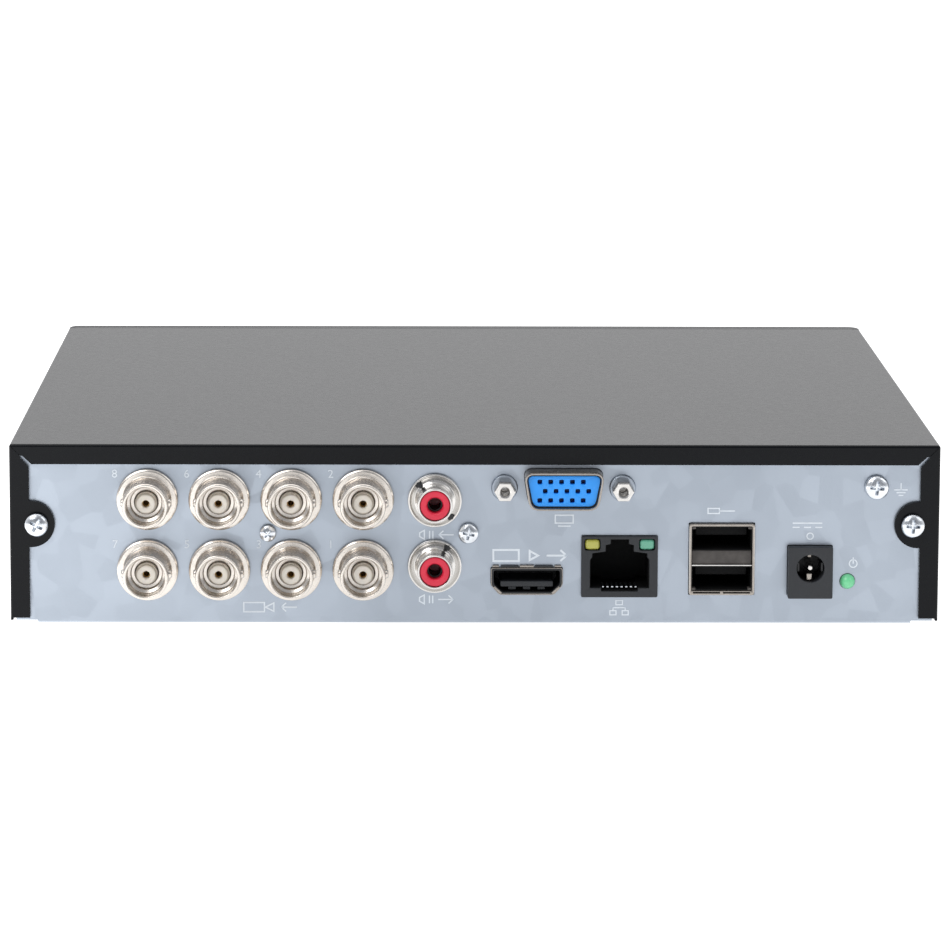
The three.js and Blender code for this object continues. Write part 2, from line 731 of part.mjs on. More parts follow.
// Two platters on their hub, about Z at the origin.
function makeHddPlatters() {
  const hubRadius = 14;
  const bore = spindlePost + 0.4;
  const hubZ = [15.2, 26.2];
  const thickness = 1.3;
  const profile = [[bore, hubZ[0]], [hubRadius, hubZ[0]]];
  for (const z of [18.0, 23.5]) {
    profile.push([hubRadius, z], [platterRadius, z],
      [platterRadius, z + thickness], [hubRadius, z + thickness]);
  }
  profile.push([hubRadius, hubZ[1]], [bore, hubZ[1]]);
  const points = [...profile, profile[0]].map(([radius, z]) => new THREE.Vector2(radius, z));
  const stack = new THREE.LatheGeometry(points, 32);
  stack.rotateX(Math.PI / 2);
  return toSolid(stack);
}

// Head arm with its voice coil, pointing along +X from its pivot at the origin.
function makeHddArm() {
  const finger = new THREE.Shape();
  finger.moveTo(0, -5.5);
  finger.lineTo(armLength * 0.7, -2.4);
  finger.lineTo(armLength, -1.1);
  finger.lineTo(armLength, 1.1);
  finger.lineTo(armLength * 0.7, 2.4);
  finger.lineTo(0, 5.5);
  finger.closePath();
  const coil = new THREE.Shape();
  coil.moveTo(0, -4);
  coil.lineTo(0, 4);
  coil.lineTo(-18, 10);
  coil.lineTo(-20, 0);
  coil.lineTo(-18, -10);
  coil.closePath();
  const barrel = rodZ(6.5, [15.2, 27.6], 0, 0, 16);
  const fingerZ = [16.1, 20.9, 25.6];     // below, between and above the platters
  const fingers = fingerZ.map((z) => extrudedZ(finger, [z, z + 1.0]));
  const bore = rodZ(pivotPost + gap, [14, 29], 0, 0, 16);
  return cut(join([barrel, ...fingers, extrudedZ(coil, [20.4, 22.4])]), [bore]);
}

function makeHddBoard() {
  const board = block([7 - driveX, driveX - 1.5], [driveFrontY + 6.4, driveBackY - 6.4],
    [driveBottomZ + 0.4, driveBottomZ + 2.0]);
  const tail = block([driveX - 8.4, driveX - 1.0], [driveTailY[0] + 0.6, driveTailY[1] - 0.6],
    [driveBottomZ + 0.4, driveDeckZ - 1.6]);
  return join([board, tail]);
}

// ---------------------------------------------------------------- drive leads

// Lead from the drive's tail to the board, with a plug moulded on each end.
function makeLead({ startY, endY, plugWidth, section, z, bendX }) {
  const plugEndX = driveX + 9;
  const curve = new THREE.CatmullRomCurve3([
    new THREE.Vector3(plugEndX - 2, startY, z),
    new THREE.Vector3(plugEndX + 1, startY, z),
    new THREE.Vector3(bendX - 0.6, startY + 2.4, z),
    new THREE.Vector3(bendX, startY + 7, z),
    new THREE.Vector3(bendX, endY - 8, z),
    new THREE.Vector3(bendX, endY + 1, z),
  ]);
  const [thick, tall] = section;
  const profile = new THREE.Shape();
  profile.moveTo(-tall / 2, -thick / 2);
  profile.lineTo(tall / 2, -thick / 2);
  profile.lineTo(tall / 2, thick / 2);
  profile.lineTo(-tall / 2, thick / 2);
  profile.closePath();
  const lead = new THREE.ExtrudeGeometry(profile, { steps: 24, extrudePath: curve });
  const drivePlug = block([driveX + gap, plugEndX], span(startY, plugWidth), [z - 2.2, z + 2.2]);
  const boardPlug = block(span(bendX, 7.5), [endY, endY + 8], [partZ, z + 3.6]);
  return join([toSolid(lead), drivePlug, boardPlug]);
}

// ---------------------------------------------------------------- assembly

const colours = {
  blackPaint: { color: 0x1d1f22, roughness: 0.45, metalness: 0.2 },
  zinc: { color: 0xbcc3cb, roughness: 0.4, metalness: 0.8 },
  blackPlastic: { color: 0x17181a, roughness: 0.5, metalness: 0.0 },
  smokedPlastic: { color: 0x2a1518, roughness: 0.2, metalness: 0.0 },
  rubber: { color: 0x202020, roughness: 0.9, metalness: 0.0 },
  brightScrew: { color: 0xd2d6d8, roughness: 0.3, metalness: 0.9 },
  nickel: { color: 0xb7b1a8, roughness: 0.25, metalness: 1.0 },
  gold: { color: 0xb38b45, roughness: 0.3, metalness: 1.0 },
  creamPlastic: { color: 0xd9d3c4, roughness: 0.6, metalness: 0.0 },
  redPlastic: { color: 0xc4202c, roughness: 0.35, metalness: 0.0 },
  bluePlastic: { color: 0x2f8fe6, roughness: 0.45, metalness: 0.0 },
  amber: { color: 0xc9a21c, roughness: 0.3, metalness: 0.0 },
  green: { color: 0x3fae62, roughness: 0.3, metalness: 0.0 },
  board: { color: 0x1c5a38, roughness: 0.55, metalness: 0.0 },
  aluminium: { color: 0x9da0a3, roughness: 0.45, metalness: 0.9 },
  mirror: { color: 0xdadcde, roughness: 0.05, metalness: 1.0 },
  redLead: { color: 0xb3262a, roughness: 0.6, metalness: 0.0 },
};

const recorder = new THREE.Group();

function add(name, solid, colour, position = [0, 0, 0]) {
  const mesh = new THREE.Mesh(toGeometry(solid), new THREE.MeshStandardMaterial(colours[colour]));
  mesh.name = name;
  mesh.position.set(...position);
  recorder.add(mesh);
  return mesh;
}

add('chassis_tray', makeChassisTray(), 'zinc');
add('top_cover', makeTopCover(), 'blackPaint');
add('front_bezel', makeFrontBezel(), 'blackPlastic');
add('status_window', makeStatusWindow(), 'smokedPlastic');

const footX = 78;
const rearFootY = coverBackY - 32;
const frontFootY = frontY + 26;
for (const [end, y] of [['front', frontFootY], ['rear', rearFootY]]) {
  for (const [side, x] of [['left', footX], ['right', -footX]]) {
    const foot = add(`foot_${end}_${side}`, makeFoot(), 'rubber', [x, y, 0]);
    foot.rotation.x = Math.PI / 2;
  }
}

const coverScrew = { head: 2.5, height: 1.9, shank: 1.5, length: 6 };
const blockScrew = { head: 2.2, height: 1.6, shank: 1.25, length: 9 };
const groundScrew = { head: 2.6, height: 1.9, shank: 1.5, length: 5 };
function addScrew(name, size, x, seatY, z) {
  add(name, makeScrew(size.head, size.height, size.shank, size.length), 'brightScrew', [x, seatY, z]);
}
addScrew('cover_screw_left', coverScrew, coverScrewX, coverBackY + gap, coverScrewZ);
addScrew('cover_screw_right', coverScrew, -coverScrewX, coverBackY + gap, coverScrewZ);
addScrew('jack_block_screw_left', blockScrew, blockScrewLeftX, panelY + gap, blockScrewZ);
addScrew('jack_block_screw_right', blockScrew, blockScrewRightX, panelY + gap, blockScrewZ);
addScrew('ground_screw', groundScrew, groundScrewX, panelY + gap, groundScrewZ);

add('bnc_block', makeBncBlock(), 'creamPlastic');
for (const jack of bncJacks) {
  add(`bnc_shell_${jack.number}`, makeBncShell(), 'nickel', [jack.x, panelY, jack.z]);
  add(`bnc_contact_${jack.number}`, makeBncContact(), 'gold', [jack.x, panelY, jack.z]);
}

add('audio_jack_housing', makeAudioJackHousing(), 'blackPlastic');
for (const jack of audioJacks) {
  add(`${jack.name}_shell`, makeAudioShell(), 'nickel', [jack.x, panelY, jack.z]);
  add(`${jack.name}_insulator`, makeAudioInsulator(), 'redPlastic', [jack.x, panelY, jack.z]);
}

add('vga_shell', makeVgaShell(), 'nickel');
add('vga_insulator', makeVgaInsulator(), 'bluePlastic');
add('vga_standoff_left', makeStandoff(), 'nickel', [vgaX + vgaStandoffSpacing / 2, panelY, vgaZ]);
add('vga_standoff_right', makeStandoff(), 'nickel', [vgaX - vgaStandoffSpacing / 2, panelY, vgaZ]);
add('vga_board', makeVgaBoard(), 'board');
add('hdmi_shell', makeHdmiShell(), 'nickel');
add('hdmi_tongue', makeHdmiTongue(), 'blackPlastic');
add('lan_jack', makeLanJack(), 'blackPlastic');
add('lan_led_yellow', makeLanLed(1), 'amber');
add('lan_led_green', makeLanLed(-1), 'green');
add('usb_shell', makeUsbShell(), 'nickel');
add('usb_insulator', makeUsbInsulator(), 'blackPlastic');
add('dc_jack', makeDcJack(), 'blackPlastic');
add('dc_pin', makeDcPin(), 'nickel');
add('power_led', makePowerLed(), 'green', [ledX, panelY, ledZ]);

add('main_board', makeMainBoard(), 'board');
add('heat_sink', makeHeatSink(), 'aluminium');
add('coin_cell', makeCoinCell(), 'brightScrew');

add('hdd_base', makeHddBase(), 'aluminium');
add('hdd_cover', makeHddCover(), 'zinc');
add('hdd_platters', makeHddPlatters(), 'mirror', [...spindle, 0]);
const arm = add('hdd_arm', makeHddArm(), 'aluminium', [...armPivot, 0]);
arm.rotation.z = armParkAngle;
add('hdd_board', makeHddBoard(), 'board');

const leadZ = 11.6;
add('sata_data_cable', makeLead({
  startY: -16, endY: dataHeaderY, plugWidth: 14, section: [1.6, 5], z: leadZ, bendX: cableX - 0.5,
}), 'redLead');
add('sata_power_cable', makeLead({
  startY: -42, endY: dataHeaderY - 12, plugWidth: 22, section: [2.0, 4], z: leadZ, bendX: cableX + 5,
}), 'blackPlastic');

export default recorder;
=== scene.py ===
"""Looks of the compact video recorder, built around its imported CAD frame.

The mesh builders work in millimetres in the frame's axes and scale to metres at the end.
The connector panel faces +Y, so the viewer's left is +X.
"""

import math
import random

import bmesh
import bpy
from mathutils import Matrix, Vector


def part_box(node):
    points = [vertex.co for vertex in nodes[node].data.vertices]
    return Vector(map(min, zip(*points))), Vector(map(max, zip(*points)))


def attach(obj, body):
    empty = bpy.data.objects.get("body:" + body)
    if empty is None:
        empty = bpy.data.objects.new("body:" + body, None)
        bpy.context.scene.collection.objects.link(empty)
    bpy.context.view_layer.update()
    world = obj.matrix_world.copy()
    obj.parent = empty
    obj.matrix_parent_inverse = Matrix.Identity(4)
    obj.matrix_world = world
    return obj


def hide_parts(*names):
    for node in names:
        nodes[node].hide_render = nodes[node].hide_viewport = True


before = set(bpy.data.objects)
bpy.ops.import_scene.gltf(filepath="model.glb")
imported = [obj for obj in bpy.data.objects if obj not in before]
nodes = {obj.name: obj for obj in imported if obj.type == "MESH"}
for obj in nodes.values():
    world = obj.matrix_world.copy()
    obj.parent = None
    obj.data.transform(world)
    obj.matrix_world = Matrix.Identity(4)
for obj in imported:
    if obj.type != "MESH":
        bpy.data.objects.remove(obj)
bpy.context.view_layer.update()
scene = bpy.context.scene

MM = 0.001
SHEET = 0.8  # steel sheet
BEND = 0.6  # outer radius of the cover's bends
COVER_SHEET = 0.55  # painted sheet, thinner than its bends


class Box:
    """A CAD node's box in millimetres."""

    def __init__(self, node):
        low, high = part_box(node)
        self.x0, self.y0, self.z0 = (v / MM for v in low)
        self.x1, self.y1, self.z1 = (v / MM for v in high)
        self.x, self.y, self.z = ((a + b) / 2 / MM for a, b in zip(low, high))
        self.x_span, self.y_span, self.z_span = ((a / MM, b / MM) for a, b in zip(low, high))

    def outline(self, radius, margin=0.0):
        """Its rounded rectangle across Y, moved outwards by a margin."""
        x_span = (self.x0 - margin, self.x1 + margin)
        return rectangle(x_span, (self.z0 - margin, self.z1 + margin), radius)

    def hole(self, radius, sides=32):
        """A circle across Y round its centre."""
        return disc(self.x, self.z, radius, sides)

    def on_panel(self):
        """Its centre line's point on the panel's outer face."""
        return (self.x, PANEL_Y, self.z)


TRAY = Box("chassis_tray")
COVER = Box("top_cover")
PANEL_Y = TRAY.y1
BOARD = Box("main_board")
DRIVE = Box("hdd_base")
LED_FLANGE = 1.9  # radius of the power indicator's base
LED_Z = Box("power_led").z1 - LED_FLANGE
BNC = {number: Box(f"bnc_shell_{number}") for number in range(1, 9)}
AUDIO = {name: Box(f"{name}_shell") for name in ("audio_in", "audio_out")}


# ---------------------------------------------------------------- finishes


def set_inputs(node, **values):
    """Sets a shader node's inputs by name, with _ for a space."""
    for name, value in values.items():
        node.inputs[name.replace("_", " ")].default_value = value


def add_node(tree, kind, links, own=(), **inputs):
    """A shader node with its own settings, values for its inputs, and (input, source) links."""
    made = tree.nodes.new(kind)
    for name, value in own:
        setattr(made, name, value)
    set_inputs(made, **inputs)
    for name, source in links:
        tree.links.new(source, made.inputs[name])
    return made


def shade(colour, factor):
    return tuple(min(1.0, c * factor) for c in colour) + (1.0,)


def blend(tree, factor, first, second):
    mix = tree.nodes.new("ShaderNodeMix")
    mix.data_type = "RGBA"
    tree.links.new(factor, mix.inputs["Factor"])
    for socket, value in ((mix.inputs[6], first), (mix.inputs[7], second)):
        if isinstance(value, bpy.types.NodeSocket):
            tree.links.new(value, socket)
        else:
            socket.default_value = value
    return mix.outputs[2]


def noise(tree, scale, detail=3.0, stretch=(1, 1, 1), distortion=0.0):
    """Noise over the object's own coordinates; scale counts features per metre."""
    place = tree.nodes.new("ShaderNodeTexCoord")
    mapping = add_node(tree, "ShaderNodeMapping", [("Vector", place.outputs["Object"])], Scale=stretch)
    made = add_node(tree, "ShaderNodeTexNoise", [("Vector", mapping.outputs["Vector"])],
                    Scale=scale, Detail=detail, Distortion=distortion)
    return made.outputs["Fac"]


def spread(tree, source, low, high, start=0.3, end=0.7):
    made = add_node(tree, "ShaderNodeMapRange", [("Value", source)],
                    From_Min=start, From_Max=end, To_Min=low, To_Max=high)
    return made.outputs["Result"]


def raise_surface(tree, height, strength, depth):
    """Bump of a given depth in millimetres."""
    bump = add_node(tree, "ShaderNodeBump", [("Height", height)], Strength=strength, Distance=depth * MM)
    return bump.outputs["Normal"]


def finish(name, colour, roughness, metallic=0.0, ior=1.5, vary=0.08, rough_vary=0.06,
           patch=250, grain=2500, grain_depth=0.02, stretch=(1, 1, 1), **sockets):
    """Procedural finish: broad patches vary the colour and gloss, fine grain raises it."""
    material = bpy.data.materials.new(name)
    material.use_nodes = True
    tree = material.node_tree
    shader = tree.nodes["Principled BSDF"]
    patches = noise(tree, patch)
    fine = noise(tree, grain, 2.0, stretch)
    factor = spread(tree, patches, 0, 1)
    tree.links.new(blend(tree, factor, shade(colour, 1 - vary), shade(colour, 1 + vary)),
                   shader.inputs["Base Color"])
    rough = spread(tree, fine, roughness - rough_vary, roughness + rough_vary)
    tree.links.new(rough, shader.inputs["Roughness"])
    tree.links.new(raise_surface(tree, fine, 0.5, grain_depth), shader.inputs["Normal"])
    set_inputs(shader, Metallic=metallic, IOR=ior, **sockets)
    return material


def zinc_finish():
    """Zinc-coated sheet: soft spangle, cloudy patches and a faint rolling grain."""
    base = (0.385, 0.43, 0.492)
    material = finish("zinc_sheet", base, 0.36, 1.0, patch=60, grain=900,
                      grain_depth=0.004, stretch=(0.3, 1, 4))
    tree = material.node_tree
    shader = tree.nodes["Principled BSDF"]
    clouds = noise(tree, 35, 5.0, distortion=0.6)
    place = tree.nodes.new("ShaderNodeTexCoord")
    spangle = add_node(tree, "ShaderNodeTexVoronoi", [("Vector", place.outputs["Object"])], Scale=210)
    flakes = add_node(tree, "ShaderNodeSeparateColor", [("Color", spangle.outputs["Color"])])
    cloudy = blend(tree, spread(tree, clouds, 0, 1, 0.25, 0.75), shade(base, 0.93), shade(base, 1.06))
    flaked = blend(tree, spread(tree, flakes.outputs["Red"], 0, 0.16, 0, 1), cloudy, shade(base, 1.16))
    tree.links.new(flaked, shader.inputs["Base Color"])
    tree.links.new(spread(tree, flakes.outputs["Green"], 0.32, 0.42, 0, 1), shader.inputs["Roughness"])
    return material


def board_finish():
    """Green solder mask with copper runs and pads under it."""
    base = (0.012, 0.085, 0.035)
    material = finish("circuit_board", base, 0.32, patch=120, grain=1800, grain_depth=0.01)
    tree = material.node_tree
    shader = tree.nodes["Principled BSDF"]
    place = tree.nodes.new("ShaderNodeTexCoord")
    runs = add_node(tree, "ShaderNodeTexVoronoi", [("Vector", place.outputs["Object"])],
                    [("distance", "MANHATTAN"), ("feature", "F1")], Scale=420)
    rings = add_node(tree, "ShaderNodeMath", [(0, runs.outputs["Distance"])], [("operation", "PINGPONG")])
    rings.inputs[1].default_value = 0.14
    line = spread(tree, rings.outputs["Value"], 0, 1, 0.085, 0.1)
    tree.links.new(blend(tree, line, shade(base, 0.8), shade(base, 2.1)), shader.inputs["Base Color"])
    tree.links.new(raise_surface(tree, line, 0.6, 0.03), shader.inputs["Normal"])
    return material


FINISHES = {
    "zinc_sheet": zinc_finish(),
    "black_paint": finish("black_paint", (0.0008, 0.0014, 0.0028), 0.28, ior=1.27, vary=0.12,
                          rough_vary=0.015, patch=60, grain=1100, grain_depth=0.0007),
    "black_plastic": finish("black_plastic", (0.011, 0.012, 0.014), 0.42, grain=3000, grain_depth=0.015),
    "smoked_window": finish("smoked_window", (0.02, 0.006, 0.008), 0.08, rough_vary=0.02,
                            grain_depth=0.002, Coat_Weight=0.5),
    "rubber_foot": finish("rubber_foot", (0.017, 0.017, 0.018), 0.78, grain=2200, grain_depth=0.05),
    "zinc_screw": finish("zinc_screw", (0.72, 0.75, 0.79), 0.2, 1.0, patch=500, grain_depth=0.006),
    "nickel": finish("nickel", (0.68, 0.635, 0.585), 0.25, 1.0, patch=400, vary=0.04, grain=1200,
                     rough_vary=0.03, grain_depth=0.0015),
    "bright_nickel": finish("bright_nickel", (0.66, 0.645, 0.625), 0.2, 1.0, patch=400, vary=0.04,
                            rough_vary=0.03, grain_depth=0.003),
    "gold_contact": finish("gold_contact", (0.33, 0.2, 0.07), 0.32, 1.0, patch=600, grain_depth=0.005),
    "cream_plastic": finish("cream_plastic", (0.88, 0.81, 0.72), 0.45, patch=300, grain_depth=0.01,
                            vary=0.04, Subsurface_Weight=0.05),
    "red_plastic": finish("red_plastic", (0.62, 0.018, 0.05), 0.34, patch=300, grain_depth=0.01,
                          vary=0.05),
    "blue_plastic": finish("blue_plastic", (0.02, 0.29, 0.85), 0.4, patch=300, grain_depth=0.012,
                           vary=0.05),
    "led_yellow": finish("led_yellow", (0.42, 0.41, 0.07), 0.22, patch=500, grain_depth=0.006,
                         Coat_Weight=0.4),
    "led_green": finish("led_green", (0.16, 0.62, 0.30), 0.25, patch=500, grain_depth=0.006,
                        Coat_Weight=0.4),
    "circuit_board": board_finish(),
    "cast_aluminium": finish("cast_aluminium", (0.55, 0.56, 0.57), 0.4, 1.0, patch=300, grain=1500,
                             grain_depth=0.05),
    "drive_lid": finish("drive_lid", (0.62, 0.63, 0.64), 0.3, 1.0, patch=120, grain=1200,
                        stretch=(0.06, 1, 1), grain_depth=0.01),
    "platter_mirror": finish("platter_mirror", (0.85, 0.86, 0.87), 0.05, 1.0, vary=0.015,
                             rough_vary=0.01, grain_depth=0.0002),
    "red_lead": finish("red_lead", (0.42, 0.014, 0.018), 0.5),
    "black_lead": finish("black_lead", (0.014, 0.014, 0.015), 0.55),
}
# The ink also glows faintly (emission 0.3): a painted glow that keeps the marks light where the jacks
# shade them.
GLOWING_INK = finish("label_ink_painted_glow", (0.42, 0.45, 0.48), 0.55, patch=900, vary=0.05, grain=4000, grain_depth=0.01,
             Emission_Color=(0.85, 0.92, 1.0, 1), Emission_Strength=0.3)
DARK = finish("dark_moulding", (0.014, 0.016, 0.02), 0.5, patch=300, grain=3200, grain_depth=0.01)
# Near-black copy of the black moulding for the inside of the network and USB mouths: painted shade in the
# recesses.
SHADED_MOULDING = finish("inner_moulding_painted_shade", (0.003, 0.003, 0.0035), 0.65, ior=1.3, patch=300, grain=3000,
              grain_depth=0.01)
# Dark navy copy of the blue moulding for blocks at the bottom of the pin holes: painted shade in the
# holes.
SHADED_NAVY = finish("navy_painted_hole_shade", (0.004, 0.018, 0.07), 0.5, patch=400, grain_depth=0.01)
TEAL = finish("teal_window", (0.11, 0.37, 0.25), 0.25, patch=500, grain_depth=0.006, Coat_Weight=0.4)
GLOSS = finish("polished_moulding", (0.006, 0.006, 0.007), 0.12, patch=200, rough_vary=0.03,
               grain_depth=0.002)
# Darkened copy of the nickel, used on the socket shells and a leaf contact: painted shade.
SHADED_NICKEL = finish("nickel_painted_shade", (0.36, 0.33, 0.30), 0.3, 1.0, patch=400, vary=0.12, grain_depth=0.005)
STEEL = finish("dull_steel", (0.075, 0.068, 0.064), 0.5, 0.4, patch=500, vary=0.2, grain_depth=0.008)
CAN = finish("capacitor_can", (0.75, 0.76, 0.78), 0.25, 1.0, patch=500, grain_depth=0.006)
LABEL = finish("paper_label", (0.78, 0.78, 0.75), 0.6, patch=200, vary=0.03, grain_depth=0.01)


# ---------------------------------------------------------------- outlines


def rounded(points, radius, closed=True, steps=4):
    """The outline with its corners rounded; an open one keeps its two ends."""
    result = []
    count = len(points)
    for i, point in enumerate(points):
        corner = Vector(point)
        if not closed and i in (0, count - 1):
            result.append(corner)
            continue
        before = Vector(points[i - 1]) - corner
        after = Vector(points[(i + 1) % count]) - corner
        start = before.normalized() * min(radius, before.length * 0.45)
        end = after.normalized() * min(radius, after.length * 0.45)
        for k in range(steps + 1):
            t = k / steps
            result.append(corner + start * (1 - t) ** 2 + end * t**2)
    return result


def rectangle(x_span, z_span, radius=0.0):
    (x0, x1), (z0, z1) = x_span, z_span
    corners = [(x0, z0), (x1, z0), (x1, z1), (x0, z1)]
    return rounded(corners, radius) if radius else [Vector(c) for c in corners]


def disc(x, z, radius, sides=32):
    turn = 2 * math.pi / sides
    return [Vector((x + radius * math.cos(i * turn), z + radius * math.sin(i * turn)))
            for i in range(sides)]


def span(centre, length):
    return (centre - length / 2, centre + length / 2)


def wound(outline, clockwise):
    area = sum(a.x * b.y - b.x * a.y for a, b in zip(outline, outline[1:] + outline[:1]))
    return outline[::-1] if (area < 0) != clockwise else outline


def inset(outline, distance):
    """The outline moved to its left by a distance."""
    if not distance:
        return outline
    moved = []
    for i, point in enumerate(outline):
        before = (point - outline[i - 1]).normalized()
        after = (outline[(i + 1) % len(outline)] - point).normalized()
        left = Vector((-before.y - after.y, before.x + after.x))
        moved.append(point + left * distance / max(0.3, 1 + before.dot(after)))
    return moved


def shrunk(outline, distance):
    """The outline drawn in by a distance on every side."""
    return inset(wound(outline, False), distance)


# ---------------------------------------------------------------- solids

AXES = {
    "X": lambda u, v, w: (w, u, v),
    "Y": lambda u, v, w: (u, w, v),
    "Z": lambda u, v, w: (u, v, w),
}


def plate(bm, outlines, along, edge, axis="Y", steps=3):
    """Plate across an axis with rounded rims: the first outline is its own, the rest are holes."""
    place = AXES[axis]
    low, high = along
    levels = [(0.0, low), (0.0, high)]
    if edge:
        arc = [math.pi / 2 * k / (steps - 1) for k in range(steps)]
        rim = [(edge * (1 - math.sin(a)), edge * (1 - math.cos(a))) for a in arc]
        levels = [(shift, low + depth) for shift, depth in rim]
        levels += [(shift, high - depth) for shift, depth in reversed(rim)]
    first_edges, last_edges = [], []
    for number, outline in enumerate(outlines):
        outline = wound(outline, number > 0)
        rings = [[bm.verts.new(place(*point, depth)) for point in inset(outline, shift)]
                 for shift, depth in levels]
        for ring, following in zip(rings, rings[1:]):
            for i in range(len(ring)):
                bm.faces.new((ring[i - 1], ring[i], following[i], following[i - 1]))
        for ring, edges in ((rings[0], first_edges), (rings[-1], last_edges)):
            edges += [bm.edges.get((ring[i - 1], ring[i])) for i in range(len(ring))]
    bmesh.ops.triangle_fill(bm, edges=first_edges, use_beauty=True)
    bmesh.ops.triangle_fill(bm, edges=last_edges, use_beauty=True)


def block(bm, x, y, z, edge, axis="Y"):
    """Box with rounded edges."""
    across = {"X": (y, z, x), "Y": (x, z, y), "Z": (x, y, z)}[axis]
    plate(bm, [rectangle(across[0], across[1], edge)], across[2], edge, axis)


def turned(bm, profile, at, sides, edge, axis="Y"):
    """Solid of revolution from (radius, distance) points, with softened corners.
    A profile that starts on the axis makes a solid, and any other closes on itself."""
    place = AXES[axis]
    offset = Vector(at)
    solid = profile[0][0] == 0
    rings = []
    for radius, along in rounded(profile, edge, closed=not solid, steps=3):
        if radius < 1e-6:
            rings.append([bm.verts.new(Vector(place(0, 0, along)) + offset)])
            continue
        rings.append([bm.verts.new(Vector(place(point.x, point.y, along)) + offset)
                      for point in disc(0, 0, radius, sides)])
    pairs = list(zip(rings, rings[1:])) + ([] if solid else [(rings[-1], rings[0])])
    for ring, following in pairs:
        for i in range(sides):
            corners = [ring[i - 1 if len(ring) > 1 else 0], ring[i if len(ring) > 1 else 0],
                       following[i if len(following) > 1 else 0],
                       following[i - 1 if len(following) > 1 else 0]]
            corners = list(dict.fromkeys(corners))
            if len(corners) > 2:
                bm.faces.new(corners)


def rod(bm, radius, along, at, sides, edge, axis="Y"):
    """Round bar between two distances from a point."""
    low, high = along
    turned(bm, [(0, low), (radius, low), (radius, high), (0, high)], at, sides, edge, axis)


def swept(bm, path, radius, sides):
    """Round wire along a path of points, with closed ends."""
    points = [Vector(p) for p in path]
    side = Vector((0, 0, 1))
    rings = []
    for i, point in enumerate(points):
        ahead = (points[min(i + 1, len(points) - 1)] - points[max(i - 1, 0)]).normalized()
        across = ahead.cross(side).normalized()
        over = across.cross(ahead).normalized()
        rings.append([bm.verts.new(point + across * radius * c.x + over * radius * c.y)
                      for c in disc(0, 0, 1, sides)])
    for ring, following in zip(rings, rings[1:]):
        for i in range(sides):
            bm.faces.new((ring[i - 1], ring[i], following[i], following[i - 1]))
    bm.faces.new(rings[0])
    bm.faces.new(rings[-1])


def to_mesh(bm, name):
    bmesh.ops.recalc_face_normals(bm, faces=bm.faces)
    mesh = bpy.data.meshes.new(name)
    bm.to_mesh(mesh)
    bm.free()
    return mesh


def applied(mesh, *modifiers):
    """The mesh after modifiers, each given as (kind, settings)."""
    holder = bpy.data.objects.new("holder", mesh)
    scene.collection.objects.link(holder)
    for kind, settings in modifiers:
        modifier = holder.modifiers.new(kind.lower(), kind)
        for name, value in settings.items():
            setattr(modifier, name, value)
    bpy.context.view_layer.update()
    evaluated = holder.evaluated_get(bpy.context.evaluated_depsgraph_get())
    result = bpy.data.meshes.new_from_object(evaluated)
    bpy.data.objects.remove(holder)
    return result


def drilled(mesh, cutter_mesh):
    """The mesh with a cutter's solids taken out of it."""
    cutter = bpy.data.objects.new("cutter", cutter_mesh)
    scene.collection.objects.link(cutter)
    result = applied(mesh, ("BOOLEAN", {"operation": "DIFFERENCE", "object": cutter, "solver": "EXACT"}))
    bpy.data.objects.remove(cutter)
    return result


def piece(name, source, slot=None, stands_for=(), material=None, body="chassis", smooth=38):
    """Puts a millimetre mesh in the scene on its body, with its finish."""
    mesh = source if isinstance(source, bpy.types.Mesh) else to_mesh(source, name)
    mesh.name = name
    mesh.transform(Matrix.Scale(MM, 4))
    mesh.polygons.foreach_set("use_smooth", [True] * len(mesh.polygons))
    mesh.set_sharp_from_angle(angle=math.radians(smooth))
    mesh.materials.clear()
    mesh.materials.append(material or FINISHES[slot])
    made = bpy.data.objects.new(name, mesh)
    scene.collection.objects.link(made)
    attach(made, body)
    even = made.modifiers.new("even", "WEIGHTED_NORMAL")
    even.keep_sharp = True
    even.weight = 80
    if stands_for:
        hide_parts(*stands_for)
    return made


def keep_node(name, slot, edge):
    """Shows a CAD node as it is, with its finish and softened edges."""
    node = nodes[name]
    node.data.materials.clear()
    node.data.materials.append(FINISHES[slot])
    weld = node.modifiers.new("weld", "WELD")
    weld.merge_threshold = 1e-6
    bevel = node.modifiers.new("soften", "BEVEL")
    bevel.width = edge * MM
    bevel.segments = 2
    bevel.limit_method = "ANGLE"
    bevel.angle_limit = math.radians(40)
    bevel.use_clamp_overlap = True


# ---------------------------------------------------------------- tray

FLOOR_Z = TRAY.z0 + SHEET
PANEL_IN_Y = PANEL_Y - SHEET
PANEL_HOLES = ("jack_block_screw_left", "jack_block_screw_right", "ground_screw",
               "cover_screw_left", "cover_screw_right", "vga_standoff_left", "vga_standoff_right")
HOOK_X = 84  # bezel hooks, either side
HOOK_SLOT_Z = (29.2, 31.3)
CORNER = (92.8, 87)  # from here out the floor's rear corners are cut away
CLEAR_X = 99  # just past the tray's sides
BOARD_POSTS = [(-86, BOARD.y0 + 6), (0, BOARD.y0 + 6), (86, BOARD.y0 + 6), (-89, 80), (80, 80)]
DRIVE_POSTS = [(x, y) for x in (-60, 60) for y in (DRIVE.y0 + 3.2, DRIVE.y1 - 3.2)]


def panel_cutters():
    """Everything punched through the connector panel, as outlines across Y."""
    outlines = [box.hole(4.7) for box in BNC.values()]
    outlines += [box.hole(4.4) for box in AUDIO.values()]
    outlines += [box.hole(1.7) for box in map(Box, PANEL_HOLES)]
    outlines.append(disc(Box("power_led").x, LED_Z, 1.7))
    outlines += [vga_outline(0.12), hdmi_outline(0.1)]
    outlines += [Box(name).outline(0.3, 0.12) for name in ("lan_jack", "usb_shell", "dc_jack")]
    return outlines


